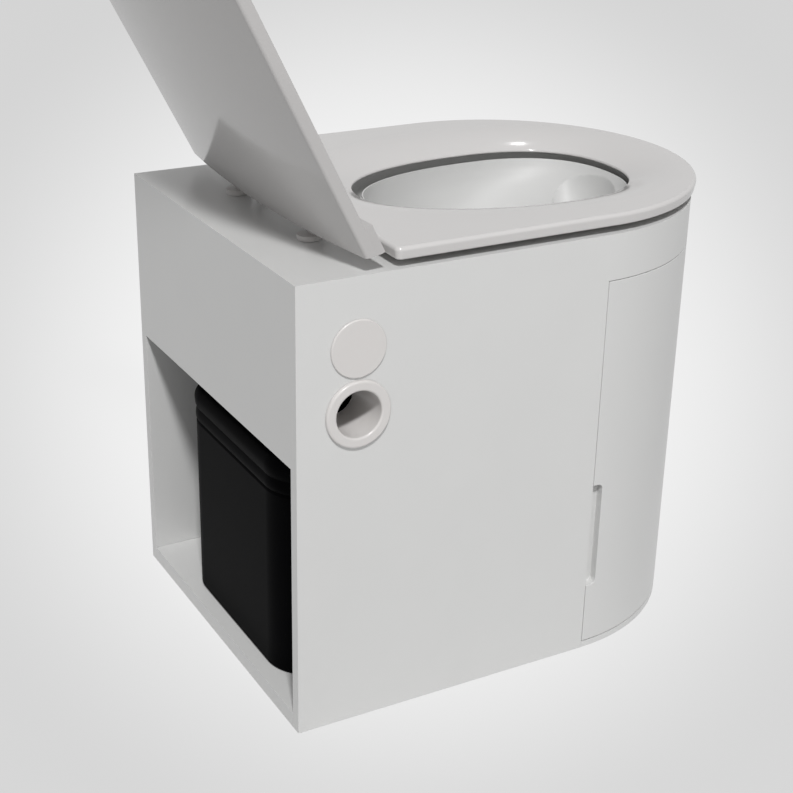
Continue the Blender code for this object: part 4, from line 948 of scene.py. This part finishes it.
def cone_reach(tree, lamp, aim):
    """Distance from the axis of the painted pool's cone over distance along it: |v x f| / (v . f).

    v runs from the cone's apex, called lamp here though no lamp stands there, to the place, and f is the
    cone's axis.

    Behind the apex v . f is held at NEAREST, so that no painted light falls there.
    """
    axis = (aim - lamp).normalized()
    here = add(tree, "ShaderNodeTexCoord").outputs["Object"]
    ray = add(tree, "ShaderNodeVectorMath", {0: here, 1: lamp}, operation="SUBTRACT").outputs["Vector"]
    across = add(tree, "ShaderNodeVectorMath", {0: ray, 1: axis}, operation="CROSS_PRODUCT").outputs["Vector"]
    width = add(tree, "ShaderNodeVectorMath", {0: across}, operation="LENGTH").outputs["Value"]
    depth = add(tree, "ShaderNodeVectorMath", {0: ray, 1: axis}, operation="DOT_PRODUCT").outputs["Value"]
    ahead = add(tree, "ShaderNodeMath", {0: depth, 1: NEAREST}, operation="MAXIMUM").outputs["Value"]
    return add(tree, "ShaderNodeMath", {0: width, 1: ahead}, operation="DIVIDE").outputs["Value"]


def sweep_material():
    """Matt paper that shows the camera a painted pool of light, shaped like a spot lamp's pool, and still
    takes a little shadow.
    """
    material, tree, shader = start_material("seamless_paper_painted_pool")
    shader.inputs["Base Color"].default_value = linear("#d4d4d4")
    shader.inputs["Roughness"].default_value = 0.9
    shader.inputs["Specular IOR Level"].default_value = 0.0
    inputs = {0: cone_reach(tree, PAINTED_POOL_APEX, PAINTED_POOL_AIM), 1: PAINTED_POOL_RANGE[0], 2: PAINTED_POOL_RANGE[1]}
    painted_pool_fade = add(tree, "ShaderNodeMapRange", inputs, interpolation_type="SMOOTHSTEP").outputs["Result"]
    # Painted pool of light: an emission glow, bright at the cone's axis and fading outwards.
    painted_pool_glow = add(tree, "ShaderNodeEmission", {"Color": between(tree, painted_pool_fade, *PAINTED_POOL_CODES)}).outputs["Emission"]
    share = add(tree, "ShaderNodeMath", {0: seen_or_mirrored(tree), 1: PAINTED_POOL_SHARE}, operation="MULTIPLY")
    part = add(tree, "ShaderNodeMixShader", {0: share.outputs["Value"], 1: shader.outputs["BSDF"], 2: painted_pool_glow})
    output = next(node for node in tree.nodes if node.type == "OUTPUT_MATERIAL")
    tree.links.new(part.outputs["Shader"], output.inputs["Surface"])
    return material


def lay_floor():
    """One square of paper just under the object."""
    square = np.array([(-1, -1), (1, -1), (1, 1), (-1, 1)], float) * FLOOR_HALF
    mesh = mesh_of("floor", lift(square, -FLOOR_DROP), [[0, 1, 2, 3]])
    mesh.materials.append(sweep_material())
    floor = bpy.data.objects.new("floor", mesh)
    bpy.context.scene.collection.objects.link(floor)
    print("floor:", 2 * FLOOR_HALF, "m wide")


lay_floor()

# %% [markdown]
# One soft box hangs high above and behind the camera. It throws the lid's shadow over the deck, and its
# size sets how soft that shadow's edge is. A weak box stands beside the vent wall, a small lamp beyond
# the seat leaves one spark of light in its dish, and the pale room fills everything else.

# %% Hang the lights
ROOM_LIGHT = 0.29
ROOM_CODE = "#dcdcdc"
LAMPS = {
    "key_above_the_camera": dict(place=(-5.23, 2.37, 7.42), target=(0, 0.1, 0.45), size=0.82, watts=590),
    "long_side_box": dict(place=(-2.6, -0.5, 0.9), target=(0, 0, 0.3), size=2.0, watts=4),
    "spark_beyond_the_seat": dict(place=(1.20, -1.18, 3.04), target=(0.09, -0.15, 0.46), size=0.05, watts=2),
}


def add_lamp(name, place, target, size, watts):
    """A square soft box that faces its target."""
    data = bpy.data.lights.new(name, "AREA")
    data.energy, data.size = watts, size
    lamp = bpy.data.objects.new(name, data)
    lamp.location = place
    lamp.rotation_euler = (Vector(target) - Vector(place)).to_track_quat("-Z", "Y").to_euler()
    bpy.context.scene.collection.objects.link(lamp)


def light_room():
    """Even light from all round, and a pale wall for the camera and for whatever mirrors the room."""
    world = bpy.data.worlds.new("studio_room")
    world.use_nodes = True
    tree = world.node_tree
    tree.nodes.clear()
    light = add(tree, "ShaderNodeBackground", {"Color": (1, 1, 1, 1), "Strength": ROOM_LIGHT})
    wall = add(tree, "ShaderNodeBackground", {"Color": linear(ROOM_CODE), "Strength": 1.0})
    inputs = {0: seen_or_mirrored(tree), 1: light.outputs["Background"], 2: wall.outputs["Background"]}
    room = add(tree, "ShaderNodeMixShader", inputs)
    output = add(tree, "ShaderNodeOutputWorld", {"Surface": room.outputs["Shader"]})
    output.is_active_output = True
    bpy.context.scene.world = world


for name, lamp in LAMPS.items():
    add_lamp(name, **lamp)
light_room()
bpy.context.scene.view_settings.view_transform = "Standard"
print("lamps:", list(LAMPS))
